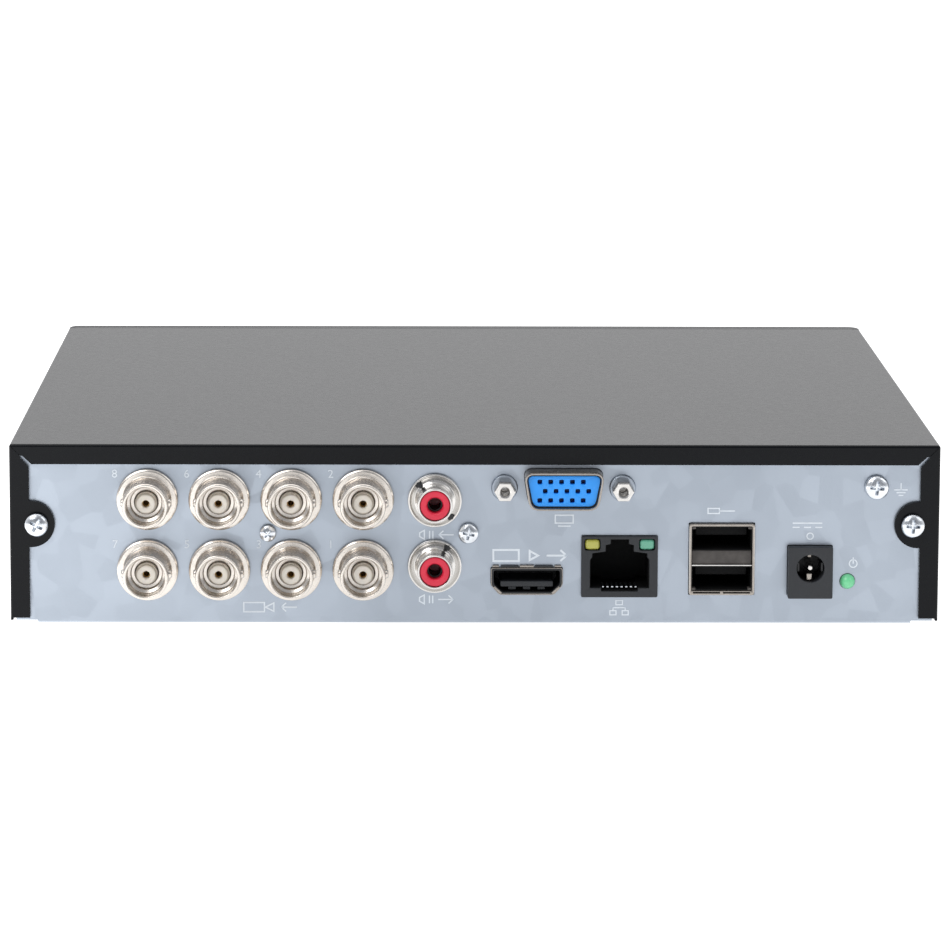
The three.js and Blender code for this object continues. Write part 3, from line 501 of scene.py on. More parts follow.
def make_tray():
    """One bent sheet: connector panel, floor and front wall, with low side walls."""
    top, low = TRAY.z1, TRAY.z0
    front_top, wall_top, wall_end = 36, 14, 86.8
    below, vents, vent_pitch = 2, 9, 9
    section = [(PANEL_Y, top), (PANEL_Y, low), (TRAY.y0, low), (TRAY.y0, front_top),
               (TRAY.y0 + SHEET, front_top), (TRAY.y0 + SHEET, FLOOR_Z),
               (PANEL_IN_Y, FLOOR_Z), (PANEL_IN_Y, top)]
    bm = bmesh.new()
    plate(bm, [rounded(section, 0.5)], TRAY.x_span, 0.12, "X")
    cutters = bmesh.new()
    for outline in panel_cutters():
        plate(cutters, [outline], (PANEL_IN_Y - 0.5, PANEL_Y + 0.5), 0)
    for side in (-1, 1):
        corner = sorted((side * CORNER[0], side * CLEAR_X))
        block(cutters, corner, (CORNER[1], PANEL_Y + 1), (below, low + 0.55), 0.2)
        clip = rectangle(span(side * HOOK_X, 8.6), HOOK_SLOT_Z, 0.4)
        plate(cutters, [clip], (TRAY.y0 - 1, TRAY.y0 + 2), 0)
    window = Box("status_window")
    opening = rectangle((window.x0 + 2, window.x1 - 2), window.z_span, 0.6)
    plate(cutters, [opening], (TRAY.y0 - 1, TRAY.y0 + 2), 0)
    slots = [rectangle((-20, 20), span(DRIVE.y0 + 15 + i * vent_pitch, 3), 1.45) for i in range(vents)]
    for opening in slots + [disc(x, y, 1.8) for x, y in DRIVE_POSTS]:
        plate(cutters, [opening], (below, FLOOR_Z + 1), 0, "Z")
    sheet = drilled(to_mesh(bm, "tray"), to_mesh(cutters, "cutters"))
    piece("tray_sheet", sheet, "zinc_sheet", ["chassis_tray"], smooth=30)
    bm = bmesh.new()
    outline = rectangle((TRAY.y0 + 1.0, wall_end), (low + 0.3, wall_top), 1.5)
    for side in (-1, 1):
        wall = sorted((side * (TRAY.x1 - SHEET), side * TRAY.x1))
        plate(bm, [outline], wall, 0.15, "X")
    for x, y in BOARD_POSTS:
        rod(bm, 3, (FLOOR_Z - 0.3, BOARD.z0 - 0.3), (x, y, 0), 32, 0.15, "Z")
    for x, y in DRIVE_POSTS:
        turned(bm, [(1.7, FLOOR_Z - 0.3), (2.8, FLOOR_Z - 0.3), (2.8, 6.8), (1.7, 6.8)],
               (x, y, 0), 32, 0.15, "Z")
    piece("tray_walls", bm, "zinc_sheet")


# ---------------------------------------------------------------- cover

LIP = 4.25  # how far the roof's edge turns down
FLANGE = 4.15  # how far the sides' rear edges turn in
EAR_RADIUS = 4.95
EAR_INSET = 4.6  # the ears' centres, in from the sides
COVER_SCREW = Box("cover_screw_left")
MITRE = [(-0.7, 0.42), (2.2, 0.3), (2.6, 0.05), (5.2, 0.04)]  # reach outwards, half width


def cover_path(shift, radius, edge_z, flange_z):
    """Inverted U across the case, moved inwards by shift, from one lower edge to the other."""
    steps = 6
    half = COVER.x1 - shift
    top = COVER.z1 - shift
    bend = [math.pi / 2 * k / steps for k in range(steps + 1)]
    left = [(half - radius + radius * math.cos(a), top - radius + radius * math.sin(a)) for a in bend]
    right = [(-x, z) for x, z in reversed(left)]
    return [(half, edge_z), (half, flange_z), *left, *right, (-half, flange_z), (-half, edge_z)]


def ear_arc(side):
    """Half-round screw ear, from its upper end on the flange's edge to the lower one."""
    steps = 24
    centre_x = COVER.x1 - EAR_INSET
    reach = math.acos((COVER.x1 - FLANGE - centre_x) / EAR_RADIUS)
    turns = [reach + (2 * math.pi - 2 * reach) * k / steps for k in range(steps + 1)]
    return [(side * (centre_x + EAR_RADIUS * math.cos(a)), COVER_SCREW.z + EAR_RADIUS * math.sin(a))
            for a in turns]


def make_cover():
    """Bent sheet: roof, side walls with slots, and a rear lip and flanges mitred at the corners."""
    flange_z = COVER.z0 + 0.6
    steps = 5
    rows = [(0.0, BEND, COVER.y0), (0.0, BEND, COVER.y1 - BEND)]
    for k in range(1, steps + 1):
        a = math.pi / 2 * k / steps
        rows.append((BEND * (1 - math.cos(a)), BEND * math.cos(a), COVER.y1 - BEND + BEND * math.sin(a)))
    bm = bmesh.new()
    grid = []
    for shift, radius, y in rows:
        grid.append([bm.verts.new((x, y, z))
                     for x, z in cover_path(shift, radius, COVER.z0, flange_z)])
    last = len(grid[0]) - 1
    for number, (row, following) in enumerate(zip(grid, grid[1:])):
        bent = number > 0
        for i in range(1 if bent else 0, last - 1 if bent else last):
            bm.faces.new((row[i], row[i + 1], following[i + 1], following[i]))
    inner = [(COVER.x1 - FLANGE, COVER.z1 - LIP), *ear_arc(1), (COVER.x1 - FLANGE, flange_z)]
    mirrored = [(FLANGE - COVER.x1, COVER.z1 - LIP), *ear_arc(-1), (FLANGE - COVER.x1, flange_z)]
    rear = grid[-1][1:last]
    rear += [bm.verts.new((x, COVER.y1, z)) for x, z in mirrored[::-1] + inner]
    bm.faces.new(rear)
    bmesh.ops.remove_doubles(bm, verts=bm.verts, dist=1e-4)
    bmesh.ops.dissolve_degenerate(bm, edges=bm.edges, dist=1e-4)
    skin = to_mesh(bm, "skin")
    roof = max(skin.polygons, key=lambda p: p.area)
    sheet = applied(skin, ("SOLIDIFY", {
        "thickness": COVER_SHEET, "offset": -1.0 if roof.normal.z > 0 else 1.0, "use_even_offset": True}))
    cutters = bmesh.new()
    slots, pitch = 12, 4.5
    for side in (-1, 1):
        wall = sorted((side * (COVER.x1 - 2), side * (COVER.x1 + 1)))
        for i in range(slots):
            outline = rectangle(span(-66 + i * pitch, 1.8), (18, 28), 0.88)
            plate(cutters, [outline], wall, 0, "X")
        plate(cutters, [disc(side * COVER_SCREW.x, COVER_SCREW.z, 1.8)], span(COVER.y1, 4), 0)
        corner = Vector((side * (COVER.x1 - FLANGE), COVER.z1 - LIP))
        out = Vector((side, 1)).normalized()
        across = Vector((out.y, -out.x))
        slit = [corner + out * reach + across * half for reach, half in MITRE]
        slit += [corner + out * reach - across * half for reach, half in reversed(MITRE)]
        plate(cutters, [slit], span(COVER.y1, 2.0), 0)
    cut = drilled(sheet, to_mesh(cutters, "cutters"))
    piece("cover_sheet", cut, "black_paint", ["top_cover"], body="cover", smooth=30)


# ---------------------------------------------------------------- bezel, window and feet


def make_bezel():
    """Moulded front in three stepped bands, with a window and two snap hooks."""
    box, window = Box("front_bezel"), Box("status_window")
    front, back = box.y0, box.y0 + 5.0
    wall, corner = 2.2, 3.0
    band_low, band_high, groove = 12.5, 24.6, 0.3
    outer = [(-box.x1, back), (-box.x1, front + corner)]
    for side in (-1, 1):
        arc = [math.pi / 2 * k / 8 for k in range(9)]
        curve = [(side * (box.x1 - corner + corner * math.cos(a)), front + corner - corner * math.sin(a))
                 for a in arc]
        outer += curve if side < 0 else curve[::-1]
    outer += [(box.x1, front + corner), (box.x1, back)]
    inside = [(box.x1 - wall, back), (box.x1 - wall, front + wall), (wall - box.x1, front + wall),
              (wall - box.x1, back)]
    outer = [Vector(p) for p in dict.fromkeys((round(x, 5), round(y, 5)) for x, y in outer)]
    outline = outer + [Vector(p) for p in inside]
    opening = window.outline(0.8, 0.15)
    bm = bmesh.new()
    for low, high in ((box.z0, band_low - groove), (band_high + groove, box.z1)):
        plate(bm, [outline], (low, high), 0.45, "Z")
    lining = (wall - box.x1 - 0.5, box.x1 - wall + 0.5)
    for level in ((box.z0 + 0.02, box.z0 + wall), (box.z1 - wall, box.z1 - 0.02)):
        block(bm, lining, (front + 0.9, back - 0.02), level, 0.1, "Z")
    backing = rectangle(lining, (box.z0 + 1, box.z1 - 1), 0.5)
    plate(bm, [backing, opening], (front + 1.0, front + wall), 0.1)
    piece("bezel_moulding", bm, "black_plastic", ["front_bezel"])
    bm = bmesh.new()
    plate(bm, [outline], (band_low, band_high), 0.3, "Z")
    cutters = bmesh.new()
    plate(cutters, [opening], (front - 1, front + 3.5), 0)
    band = drilled(to_mesh(bm, "band"), to_mesh(cutters, "cutters"))
    piece("bezel_band", band, "black_plastic", (), GLOSS, smooth=30)
    bm = bmesh.new()
    for side in (-1, 1):
        x = span(side * HOOK_X, 8)
        block(bm, x, (front + 1.5, box.y1), (29.5, 31.0), 0.2)
        block(bm, x, (box.y1 - 1.7, box.y1), (29.5, 32.2), 0.3)
    piece("bezel_hooks", bm, "black_plastic")
    bm = bmesh.new()
    block(bm, window.x_span, window.y_span, window.z_span, 0.5)
    piece("window_lens", bm, "smoked_window", ["status_window"])
    bm = bmesh.new()
    for i in range(3):
        rod(bm, 0.9, (-0.06, 0.4), (window.x0 + 9 + i * 13.5, window.y0, window.z), 32, 0.08)
    piece("window_light_pipes", bm, "led_green")


def make_feet():
    """Rubber feet with a recess in the middle of each."""
    for end in ("front", "rear"):
        for side in ("left", "right"):
            name = f"foot_{end}_{side}"
            box = Box(name)
            bm = bmesh.new()
            turned(bm, [(0, 0.55), (2.2, 0.55), (2.6, 0.0), (7.0, 0.0), (7.6, 0.35), (8.0, 1.2),
                        (8.0, box.z1), (0, box.z1)], (box.x, box.y, 0), 56, 0.25, "Z")
            piece(f"{name}_moulding", bm, "rubber_foot", [name])


# ---------------------------------------------------------------- screws


def make_screw(name, head, height, shank, length, turn, body="chassis"):
    """Pan-head screw along +Y with a cross recess turned by an angle in radians."""
    box = Box(name)
    bm = bmesh.new()
    dome = [(head * math.cos(a), height * (0.4 + 0.6 * math.sin(a)))
            for a in [math.pi / 2 * k / 7 for k in range(7)]]
    turned(bm, [(0, -length), (shank * 0.6, -length), (shank, 0.8 - length), (shank, 0), (head, 0),
                *dome, (0, height)], (0, 0, 0), 48, 0.05)
    mesh = to_mesh(bm, "screw")
    wide, narrow, depth = head * 0.6, head * 0.13, height * 0.85
    for angle in (turn, turn + math.pi / 2):
        arm = Vector((math.cos(angle), math.sin(angle)))
        side = Vector((-arm.y, arm.x))
        top = [arm * wide + side * narrow, arm * -wide + side * narrow,
               arm * -wide - side * narrow, arm * wide - side * narrow]
        cutter = bmesh.new()
        rings = [[cutter.verts.new((p.x * scale, y, p.y * scale)) for p in top]
                 for scale, y in ((1.15, height + 0.3), (0.5, height - depth))]
        for i in range(4):
            cutter.faces.new((rings[0][i - 1], rings[0][i], rings[1][i], rings[1][i - 1]))
        cutter.faces.new(rings[0])
        cutter.faces.new(rings[1])
        mesh = drilled(mesh, to_mesh(cutter, "recess"))
    mesh.transform(Matrix.Translation((box.x, box.y1 - height, box.z)))
    piece(f"{name}_cross_head", mesh, "zinc_screw", [name], body=body, smooth=32)


def make_screws():
    make_screw("cover_screw_left", 2.5, 1.9, 1.5, 6, 0.5, "cover")
    make_screw("cover_screw_right", 2.5, 1.9, 1.5, 6, 0.05, "cover")
    make_screw("jack_block_screw_left", 1.75, 1.1, 1.1, 9, 0.7)
    make_screw("jack_block_screw_right", 2.2, 1.6, 1.25, 9, 0.2)
    make_screw("ground_screw", 2.6, 1.9, 1.5, 5, 0.1)


# ---------------------------------------------------------------- jacks of the left half

BORE = 4.05  # radius inside a bayonet jack
INSULATOR = 2.05  # radius of the boss that stands in it


def make_bnc():
    """Bayonet jacks: shell with its flange and two lugs, and the contact inside."""
    tip = BNC[1].y1 - PANEL_Y
    for number, box in BNC.items():
        at = box.on_panel()
        bm = bmesh.new()
        sleeve = box.y0 - PANEL_Y
        turned(bm, [(2.4, sleeve), (4.2, sleeve), (4.2, 0.3), (6.5, 0.3), (6.5, 1.35), (6.1, 1.6),
                    (5.15, 1.6), (5.05, 1.9), (4.8, 2.2), (4.8, tip - 0.25), (4.6, tip), (4.2, tip),
                    (BORE, tip - 0.2), (BORE, 6.0), (3.3, 5.7), (3.3, 4.4), (2.5, 4.4)], at, 64, 0.12)
        for side in (-1, 1):
            turned(bm, [(0, side * 4.2), (0.9, side * 4.2), (0.9, side * 5.1), (0.7, side * 5.35),
                        (0, side * 5.35)], (box.x, PANEL_Y + tip - 4.8, box.z), 24, 0.1, "X")
        piece(f"bnc_jack_{number}", bm, "nickel", [f"bnc_shell_{number}"])
        bm = bmesh.new()
        contact = Box(f"bnc_contact_{number}")
        end, rear = contact.y1 - PANEL_Y - 1.6, contact.y0 - PANEL_Y
        turned(bm, [(0, rear), (1.1, rear), (1.1, end), (0.6, end), (0.6, end - 8), (0, end - 8)],
               at, 24, 0.06)
        piece(f"bnc_socket_{number}", bm, "gold_contact", [f"bnc_contact_{number}"])


def make_bnc_block():
    """Moulded housing behind the panel with the insulator bosses that stand in the bores."""
    box = Box("bnc_block")
    front = PANEL_Y - SHEET - 0.3
    holes = [jack.hole(BORE + 0.6) for jack in BNC.values()]
    bm = bmesh.new()
    outline = box.outline(0.6)
    plate(bm, [outline, *holes], (front - 3.6, front), 0.15)
    plate(bm, [outline], (box.y0, front - 3.7), 0.3)
    for i in range(6):
        x = box.x0 + 7 + i * (box.x1 - box.x0 - 14) / 5
        block(bm, span(x, 1.2), (box.y0 + 1, front - 5), (box.z1 - 0.3, box.z1), 0.1)
    tip = box.y1 - PANEL_Y
    start = front - 3.8 - PANEL_Y
    for jack in BNC.values():
        turned(bm, [(1.2, start), (INSULATOR + 0.3, start), (INSULATOR + 0.3, tip - 1.6),
                    (INSULATOR, tip - 1.4), (INSULATOR, tip - 0.2), (INSULATOR - 0.2, tip), (1.0, tip),
                    (0.8, tip - 0.25), (0.8, tip - 1.7), (1.2, tip - 1.75)], jack.on_panel(), 40, 0.06)
    piece("bnc_housing", bm, "cream_plastic", ["bnc_block"])


def make_audio():
    """Phono jacks, with a moulded core in each, and the housing behind them."""
    for name, box in AUDIO.items():
        at = box.on_panel()
        tip = box.y1 - PANEL_Y
        sleeve = box.y0 - PANEL_Y
        bm = bmesh.new()
        turned(bm, [(3.25, sleeve), (4.1, sleeve), (4.1, 0.3), (5.7, 0.3), (5.7, 1.25), (5.35, 1.3),
                    (5.0, 0.95), (4.3, 0.8), (3.7, 1.1), (3.7, tip - 0.12), (3.6, tip), (3.3, tip),
                    (3.25, tip - 0.12)], at, 64, 0.1)
        piece(f"{name}_jack", bm, "bright_nickel", [f"{name}_shell"])
        bm = bmesh.new()
        core = Box(f"{name}_insulator")
        end, rear = core.y1 - PANEL_Y, core.y0 - PANEL_Y
        turned(bm, [(0, rear), (2.95, rear), (2.95, 2), (3.14, 2.2), (3.14, end + 0.1), (3.0, end + 0.25),
                    (1.95, end + 0.25), (1.65, end - 0.1), (1.65, end - 8.5), (0, end - 8.5)],
               at, 48, 0.08)
        piece(f"{name}_core", bm, "red_plastic", [f"{name}_insulator"])
        bm = bmesh.new()
        turned(bm, [(1.3, end - 8.4), (1.65, end - 8.4), (1.65, end - 2.4), (1.3, end - 2.4)],
               at, 32, 0.05)
        piece(f"{name}_pin_spring", bm, "black_plastic")
        # Black squares on the flange where its slots are: painted shade of the slots.
        bm = bmesh.new()
        turns = (2.35, -0.8) if name == "audio_in" else (1.0,)
        for turn in turns:
            x, z = box.x - math.cos(turn) * 4.75, box.z + math.sin(turn) * 4.75
            block(bm, span(x, 1.2), (PANEL_Y + 0.9, PANEL_Y + 1.36), span(z, 1.2), 0.15)
        piece(f"{name}_painted_slot_shade", bm, "black_plastic")
    bm = bmesh.new()
    box = Box("audio_jack_housing")
    holes = [jack.hole(4.4) for jack in AUDIO.values()]
    outline = box.outline(0.6)
    plate(bm, [outline, *holes], (box.y1 - 3.9, box.y1), 0.15)
    plate(bm, [outline], (box.y0, box.y1 - 4.0), 0.3)
    piece("audio_housing", bm, "black_plastic", ["audio_jack_housing"])


# ---------------------------------------------------------------- monitor socket


def vga_outline(margin):
    box = Box("vga_shell")
    half_top, half_base, half_high = 8.6 + margin, 7.3 + margin, 4.05 + margin
    return rounded([(box.x - half_base, box.z - half_high), (box.x + half_base, box.z - half_high),
                    (box.x + half_top, box.z + half_high), (box.x - half_top, box.z + half_high)],
                   2.2 + margin, steps=6)


def make_vga():
    """D-shaped monitor socket with its jackscrew posts, on a riser board."""
    box = Box("vga_shell")
    back = box.y0
    bm = bmesh.new()
    plate(bm, [vga_outline(0), vga_outline(-0.5)], (back, box.y1), 0.2)
    standoffs = {name: Box(name) for name in ("vga_standoff_left", "vga_standoff_right")}
    plate(bm, [box.outline(1.2), vga_outline(0.05), *[post.hole(1.8) for post in standoffs.values()]],
          (back, back + SHEET), 0.12)
    # Shell in the darkened nickel: painted shade.
    piece("vga_socket_shell", bm, "bright_nickel", ["vga_shell"], SHADED_NICKEL)
    bm = bmesh.new()
    face = box.y1 - 0.9
    pitch, row_pitch, square = 2.29, 1.98, 0.98
    holes = []
    for row in (-1, 0, 1):
        shift = -pitch / 4 if row == 0 else pitch / 4
        for pin in range(-2, 3):
            x, z = box.x + shift + pin * pitch, box.z + row * row_pitch
            holes.append(rectangle(span(x, square), span(z, square), 0.25))
    plate(bm, [vga_outline(-0.8), *holes], (face - 3.5, face), 0.1)
    plate(bm, [vga_outline(-0.8)], (back - 2, face - 3.6), 0.1)
    insulator = Box("vga_insulator")
    block(bm, insulator.x_span, (insulator.y0, back - 0.3), insulator.z_span, 0.3)
    piece("vga_socket_insulator", bm, "blue_plastic", ["vga_insulator"])
    # Black sheet in the gap between the shell and the blue moulding: painted shade in the gap.
    bm = bmesh.new()
    plate(bm, [vga_outline(-0.52), vga_outline(-0.78)], (back, face - 0.2), 0.05)
    piece("vga_gap_painted_shade", bm, "black_plastic")
    # Navy blocks at the bottom of the pin holes: painted shade in the holes.
    bm = bmesh.new()
    for hole in holes:
        x = (hole[0].x + hole[len(hole) // 2].x) / 2
        z = (hole[0].y + hole[len(hole) // 2].y) / 2
        block(bm, span(x, 0.86), (face - 3.4, face - 1.5), span(z, 0.86), 0.05)
    piece("vga_pin_hole_shade", bm, "black_plastic", (), SHADED_NAVY)
    for name, post in standoffs.items():
        base = post.y0 + 4.3
        bm = bmesh.new()
        turned(bm, [(1.3, 0), (2.8, 0), (2.8, 0.35), (2.6, 0.6), (1.3, 0.6)],
               (post.x, base, post.z), 40, 0.06)
        piece(f"{name}_washer", bm, "zinc_sheet")
        bm = bmesh.new()
        turned(bm, [(0, 0), (1.0, 0), (1.3, 0.5), (1.3, 4.3), (0, 4.3)],
               (post.x, post.y0, post.z), 24, 0.05)
        hexagon = [Vector((post.x, post.z)) + p for p in disc(0, 0, 4.1 / math.sqrt(3), 6)]
        plate(bm, [rounded(hexagon, 0.2), post.hole(0.95, 24)], (base + 0.62, post.y1), 0.3)
        piece(f"{name}_post", bm, "bright_nickel", [name])
    board = Box("vga_board")
    low, high = 23.8, 25.4  # faces of the riser board
    header_x, header_y = (-31, -7), (61.5, 64)
    bm = bmesh.new()
    plate(bm, [rectangle(board.x_span, board.y_span, 0.8)], (low, high), 0.08, "Z")
    piece("riser_board", bm, "circuit_board", ["vga_board"])
    bm = bmesh.new()
    block(bm, header_x, header_y, (board.z0, 17.5), 0.2)
    block(bm, header_x, header_y, (21.2, low), 0.2)
    piece("riser_header", bm, "black_plastic")
    bm = bmesh.new()
    for i in range(12):
        block(bm, span(header_x[0] + 1 + i * 2, 0.6), (62.4, 63.0), (16, 26.2), 0.1)
    piece("riser_pins", bm, "gold_contact")


# ---------------------------------------------------------------- sockets of the right half


def hdmi_outline(margin):
    box = Box("hdmi_shell")
    half, half_base = 7.6 + margin, 5.8 + margin
    knee = box.z - 0.9 - margin / 2
    top, base = box.z + 2.9 + margin, box.z - 2.9 - margin
    return rounded([(box.x - half_base, base), (box.x + half_base, base), (box.x + half, knee),
                    (box.x + half, top), (box.x - half, top), (box.x - half, knee)], 0.5)


def make_hdmi():
    """Flat video socket: slim steel shell round a moulded tongue."""
    box = Box("hdmi_shell")
    face = box.y1
    bm = bmesh.new()
    plate(bm, [hdmi_outline(0), hdmi_outline(-0.14)], (box.y0, face), 0.05)
    for side in (-1, 1):
        slant = [(box.x + side * 5.2, box.z - 2.55), (box.x + side * 6.75, box.z - 1.0),
                 (box.x + side * 7.1, box.z - 1.3), (box.x + side * 5.6, box.z - 2.8)]
        plate(bm, [[Vector(p) for p in slant]], (face - 6, face - 0.02), 0.08)
        block(bm, span(box.x + side * 6.6, 1.4), (PANEL_Y + 0.1, face - 0.3),
              (box.z + 3.0, box.z + 3.4), 0.1)
    block(bm, span(box.x, 10.4), (face - 6, face), (box.z - 2.95, box.z - 2.62), 0.08)
    block(bm, span(box.x, 3.0), (PANEL_Y + 0.1, face - 0.2), (box.z + 2.95, box.z + 3.45), 0.12)
    # Shell in the darkened nickel: painted shade.
    piece("hdmi_socket_shell", bm, "bright_nickel", ["hdmi_shell"], SHADED_NICKEL)
    # A black sheet inside the shell and black strips along its top edge: painted shade inside the socket.
    bm = bmesh.new()
    plate(bm, [hdmi_outline(-0.16), hdmi_outline(-0.55)], (box.y0 + 0.5, face - 0.06), 0.06)
    for side in (-1, 1):
        block(bm, span(box.x + side * 3.6, 3.8), (PANEL_Y + 0.05, face - 0.1),
              span(box.z + 3.15, 0.4), 0.1)
    piece("hdmi_painted_shade_lining", bm, "black_plastic")
    bm = bmesh.new()
    block(bm, span(box.x, 11.2), (face - 13, face - 0.8), (box.z - 1.3, box.z - 0.1), 0.2)
    for i in range(3):
        block(bm, span(box.x + (i - 1) * 3.1, 1.6), (face - 8, face - 1.2),
              (box.z - 2.0, box.z - 1.25), 0.15)
    block(bm, span(box.x, 13.4), (face - 13, face - 10.5), (box.z - 2.0, box.z + 2.2), 0.2)
    piece("hdmi_socket_tongue", bm, "black_plastic", ["hdmi_tongue"], DARK)


def make_lan():
    """Network socket with a stepped mouth, eight contacts and two light windows."""
    box = Box("lan_jack")
    face, x, base = box.y1, box.x, box.z0
    steps = [(6.3, 1.5), (6.3, 7.6), (5.85, 8.2), (5.85, 9.0),
             (3.0, 9.4), (3.0, 10.8), (1.95, 11.0), (1.95, 12.0)]
    corners = [(x - w, base + h) for w, h in steps] + [(x + w, base + h) for w, h in reversed(steps)]
    corners += [(x + 3.9, base + 1.5), (x + 3.9, base + 0.8),
                (x - 3.9, base + 0.8), (x - 3.9, base + 1.5)]
    mouth = rounded(corners, 0.12)
    windows = {name: Box(name) for name in ("lan_led_yellow", "lan_led_green")}
    holes = [window.outline(0.6, 0.1) for window in windows.values()]
    bm = bmesh.new()
    outline = box.outline(0.35)
    skirt = rectangle((box.x0 - 0.1, box.x1 + 0.15), (box.z0 - 0.5, box.z1), 0.35)
    plate(bm, [skirt, mouth, *holes], (PANEL_Y + 0.1, face), 0.12)
    plate(bm, [outline, mouth, *holes], (face - 5, PANEL_Y + 0.09), 0.02)
    piece("lan_socket_face", bm, "black_plastic", ["lan_jack"], DARK)
    bm = bmesh.new()
    plate(bm, [shrunk(outline, 0.02), mouth], (face - 14, face - 5.1), 0.02)
    block(bm, box.x_span, (box.y0, face - 14.1), box.z_span, 0.25)
    plate(bm, [shrunk(mouth, 0.02), shrunk(mouth, 0.12)], (face - 14, face - 0.5), 0.02)
    # The mouth's lining and the housing behind it are in the near-black copy: painted shade.
    piece("lan_socket_housing", bm, "black_plastic", (), SHADED_MOULDING)
    for name, window in windows.items():
        bm = bmesh.new()
        plate(bm, [window.outline(0.8)], window.y_span, 0.6, steps=5)
        piece(f"{name}_lens", bm, name.replace("lan_led", "led"), [name],
              TEAL if "green" in name else None)
    bm = bmesh.new()
    for i in range(8):
        pin_x = x - 3.5 + i * 1.0
        block(bm, span(pin_x, 0.46), (face - 6, face - 1.2), (base + 1.4, base + 1.75), 0.1)
    piece("lan_contacts", bm, "zinc_screw")


def make_usb():
    """Double socket: one steel shell, a divider, and a tongue with four contacts in each mouth."""
    box = Box("usb_shell")
    face = box.y1
    mouth_high, low, top = 5.3, box.z0 + 0.95, box.z1 - 0.6
    inside = span(box.x, 12.9)
    centres = [low + mouth_high / 2, top - mouth_high / 2]
    bm = bmesh.new()
    plate(bm, [box.outline(0.5), rectangle(inside, (low, top), 0.3)], (box.y0, face), 0.14)
    middle = (centres[0] + centres[1]) / 2
    half_gap = (centres[1] - centres[0] - mouth_high) / 2
    # Shell in the darkened nickel: painted shade.
    piece("usb_socket_shell", bm, "bright_nickel", ["usb_shell"], SHADED_NICKEL)
    bm = bmesh.new()
    block(bm, span(box.x, 12.8), (box.y0 + 2, face - 0.3),
          (middle - half_gap, middle - half_gap + 0.3), 0.08)
    for side in (-1, 1):
        block(bm, (box.x + side * 6.9 - 0.04, box.x + side * 6.9 + 0.04), (box.y0 + 2, face - 0.01),
              (box.z0 + 0.6, box.z1 - 0.6), 0.02)
    for side in (-1, 1):
        block(bm, span(box.x + side * 3.2, 6.0), (face - 3, face), (box.z0 + 0.25, box.z0 + 0.8), 0.1)
    piece("usb_bright_edges", bm, "bright_nickel")
    bm = bmesh.new()
    block(bm, span(box.x, 12.7), (face - 8, face - 0.9),
          (middle - half_gap + 0.31, middle + half_gap), 0.1)
    for side in (-1, 1):
        for z in (box.z0 + 1.25, box.z1 - 0.95):
            block(bm, span(box.x + side * 6.0, 0.9), (face - 2.4, face - 0.3), span(z, 0.55), 0.12)
    piece("usb_divider", bm, "black_plastic", (), STEEL)
    bm = bmesh.new()
    for z in centres:
        mouth = rectangle(inside, span(z, mouth_high), 0.3)
        plate(bm, [shrunk(mouth, 0.03), shrunk(mouth, 0.25)], (box.y0 + 0.5, face - 0.45), 0.06)
    insulator = Box("usb_insulator")
    block(bm, insulator.x_span, (insulator.y0, insulator.y0 + 1.5), insulator.z_span, 0.2)
    pins = bmesh.new()
    for z in centres:
        block(bm, span(box.x, 11.0), (insulator.y0 + 1, insulator.y1 - 1.2), (z + 0.2, z + 2.0), 0.2)
        for i in range(4):
            block(pins, span(box.x - 3.5 + i * 7 / 3, 1.0), (insulator.y0 + 3, insulator.y1 - 3.0),
                  (z + 0.08, z + 0.24), 0.05)
    # The mouth linings, tongues and insulator are in the near-black copy: painted shade.
    piece("usb_socket_insulator", bm, "black_plastic", ["usb_insulator"], SHADED_MOULDING)
    piece("usb_contacts", pins, "gold_contact")


def make_dc():
    """Round power inlet in a square moulding, with its centre pin and leaf contacts."""
    box, pin = Box("dc_jack"), Box("dc_pin")
    face = box.y1
    bm = bmesh.new()
    outline, hole = box.outline(0.35), pin.hole(2.95, 48)
    skirt = rectangle(box.x_span, (box.z0 - 0.5, box.z1), 0.35)
    plate(bm, [skirt, hole], (face - 1.5, face), 0.15)
    piece("dc_socket_face", bm, "black_plastic", (), DARK)
    bm = bmesh.new()
    plate(bm, [shrunk(outline, 0.02), hole], (face - 9.5, face - 1.52), 0.02)
    plate(bm, [outline], (box.y0, face - 9.6), 0.2)
    for side in (-1, 1):
        block(bm, span(pin.x + side * 2.55, 0.5), (face - 8, face - 1.0), span(pin.z + 0.2, 1.9), 0.12)
    piece("dc_socket_housing", bm, "black_plastic", ["dc_jack"])
    bm = bmesh.new()
    turned(bm, [(0, pin.y0), (0.7, pin.y0), (0.7, pin.y1 - 0.5), (0.45, pin.y1), (0, pin.y1)],
           (pin.x, 0, pin.z), 32, 0.1)
    piece("dc_centre_pin", bm, "bright_nickel", ["dc_pin"])
    bm = bmesh.new()
    block(bm, span(pin.x + 0.15, 1.1), (face - 9.4, face - 1.6), (pin.z - 2.75, pin.z - 1.3), 0.15)
    block(bm, span(pin.x, 0.8), (face - 9.4, face - 3.4), (pin.z + 1.9, pin.z + 2.5), 0.12)
    # Leaf contact in the darkened nickel: painted shade.
    piece("dc_leaf_contact", bm, "bright_nickel", (), SHADED_NICKEL)


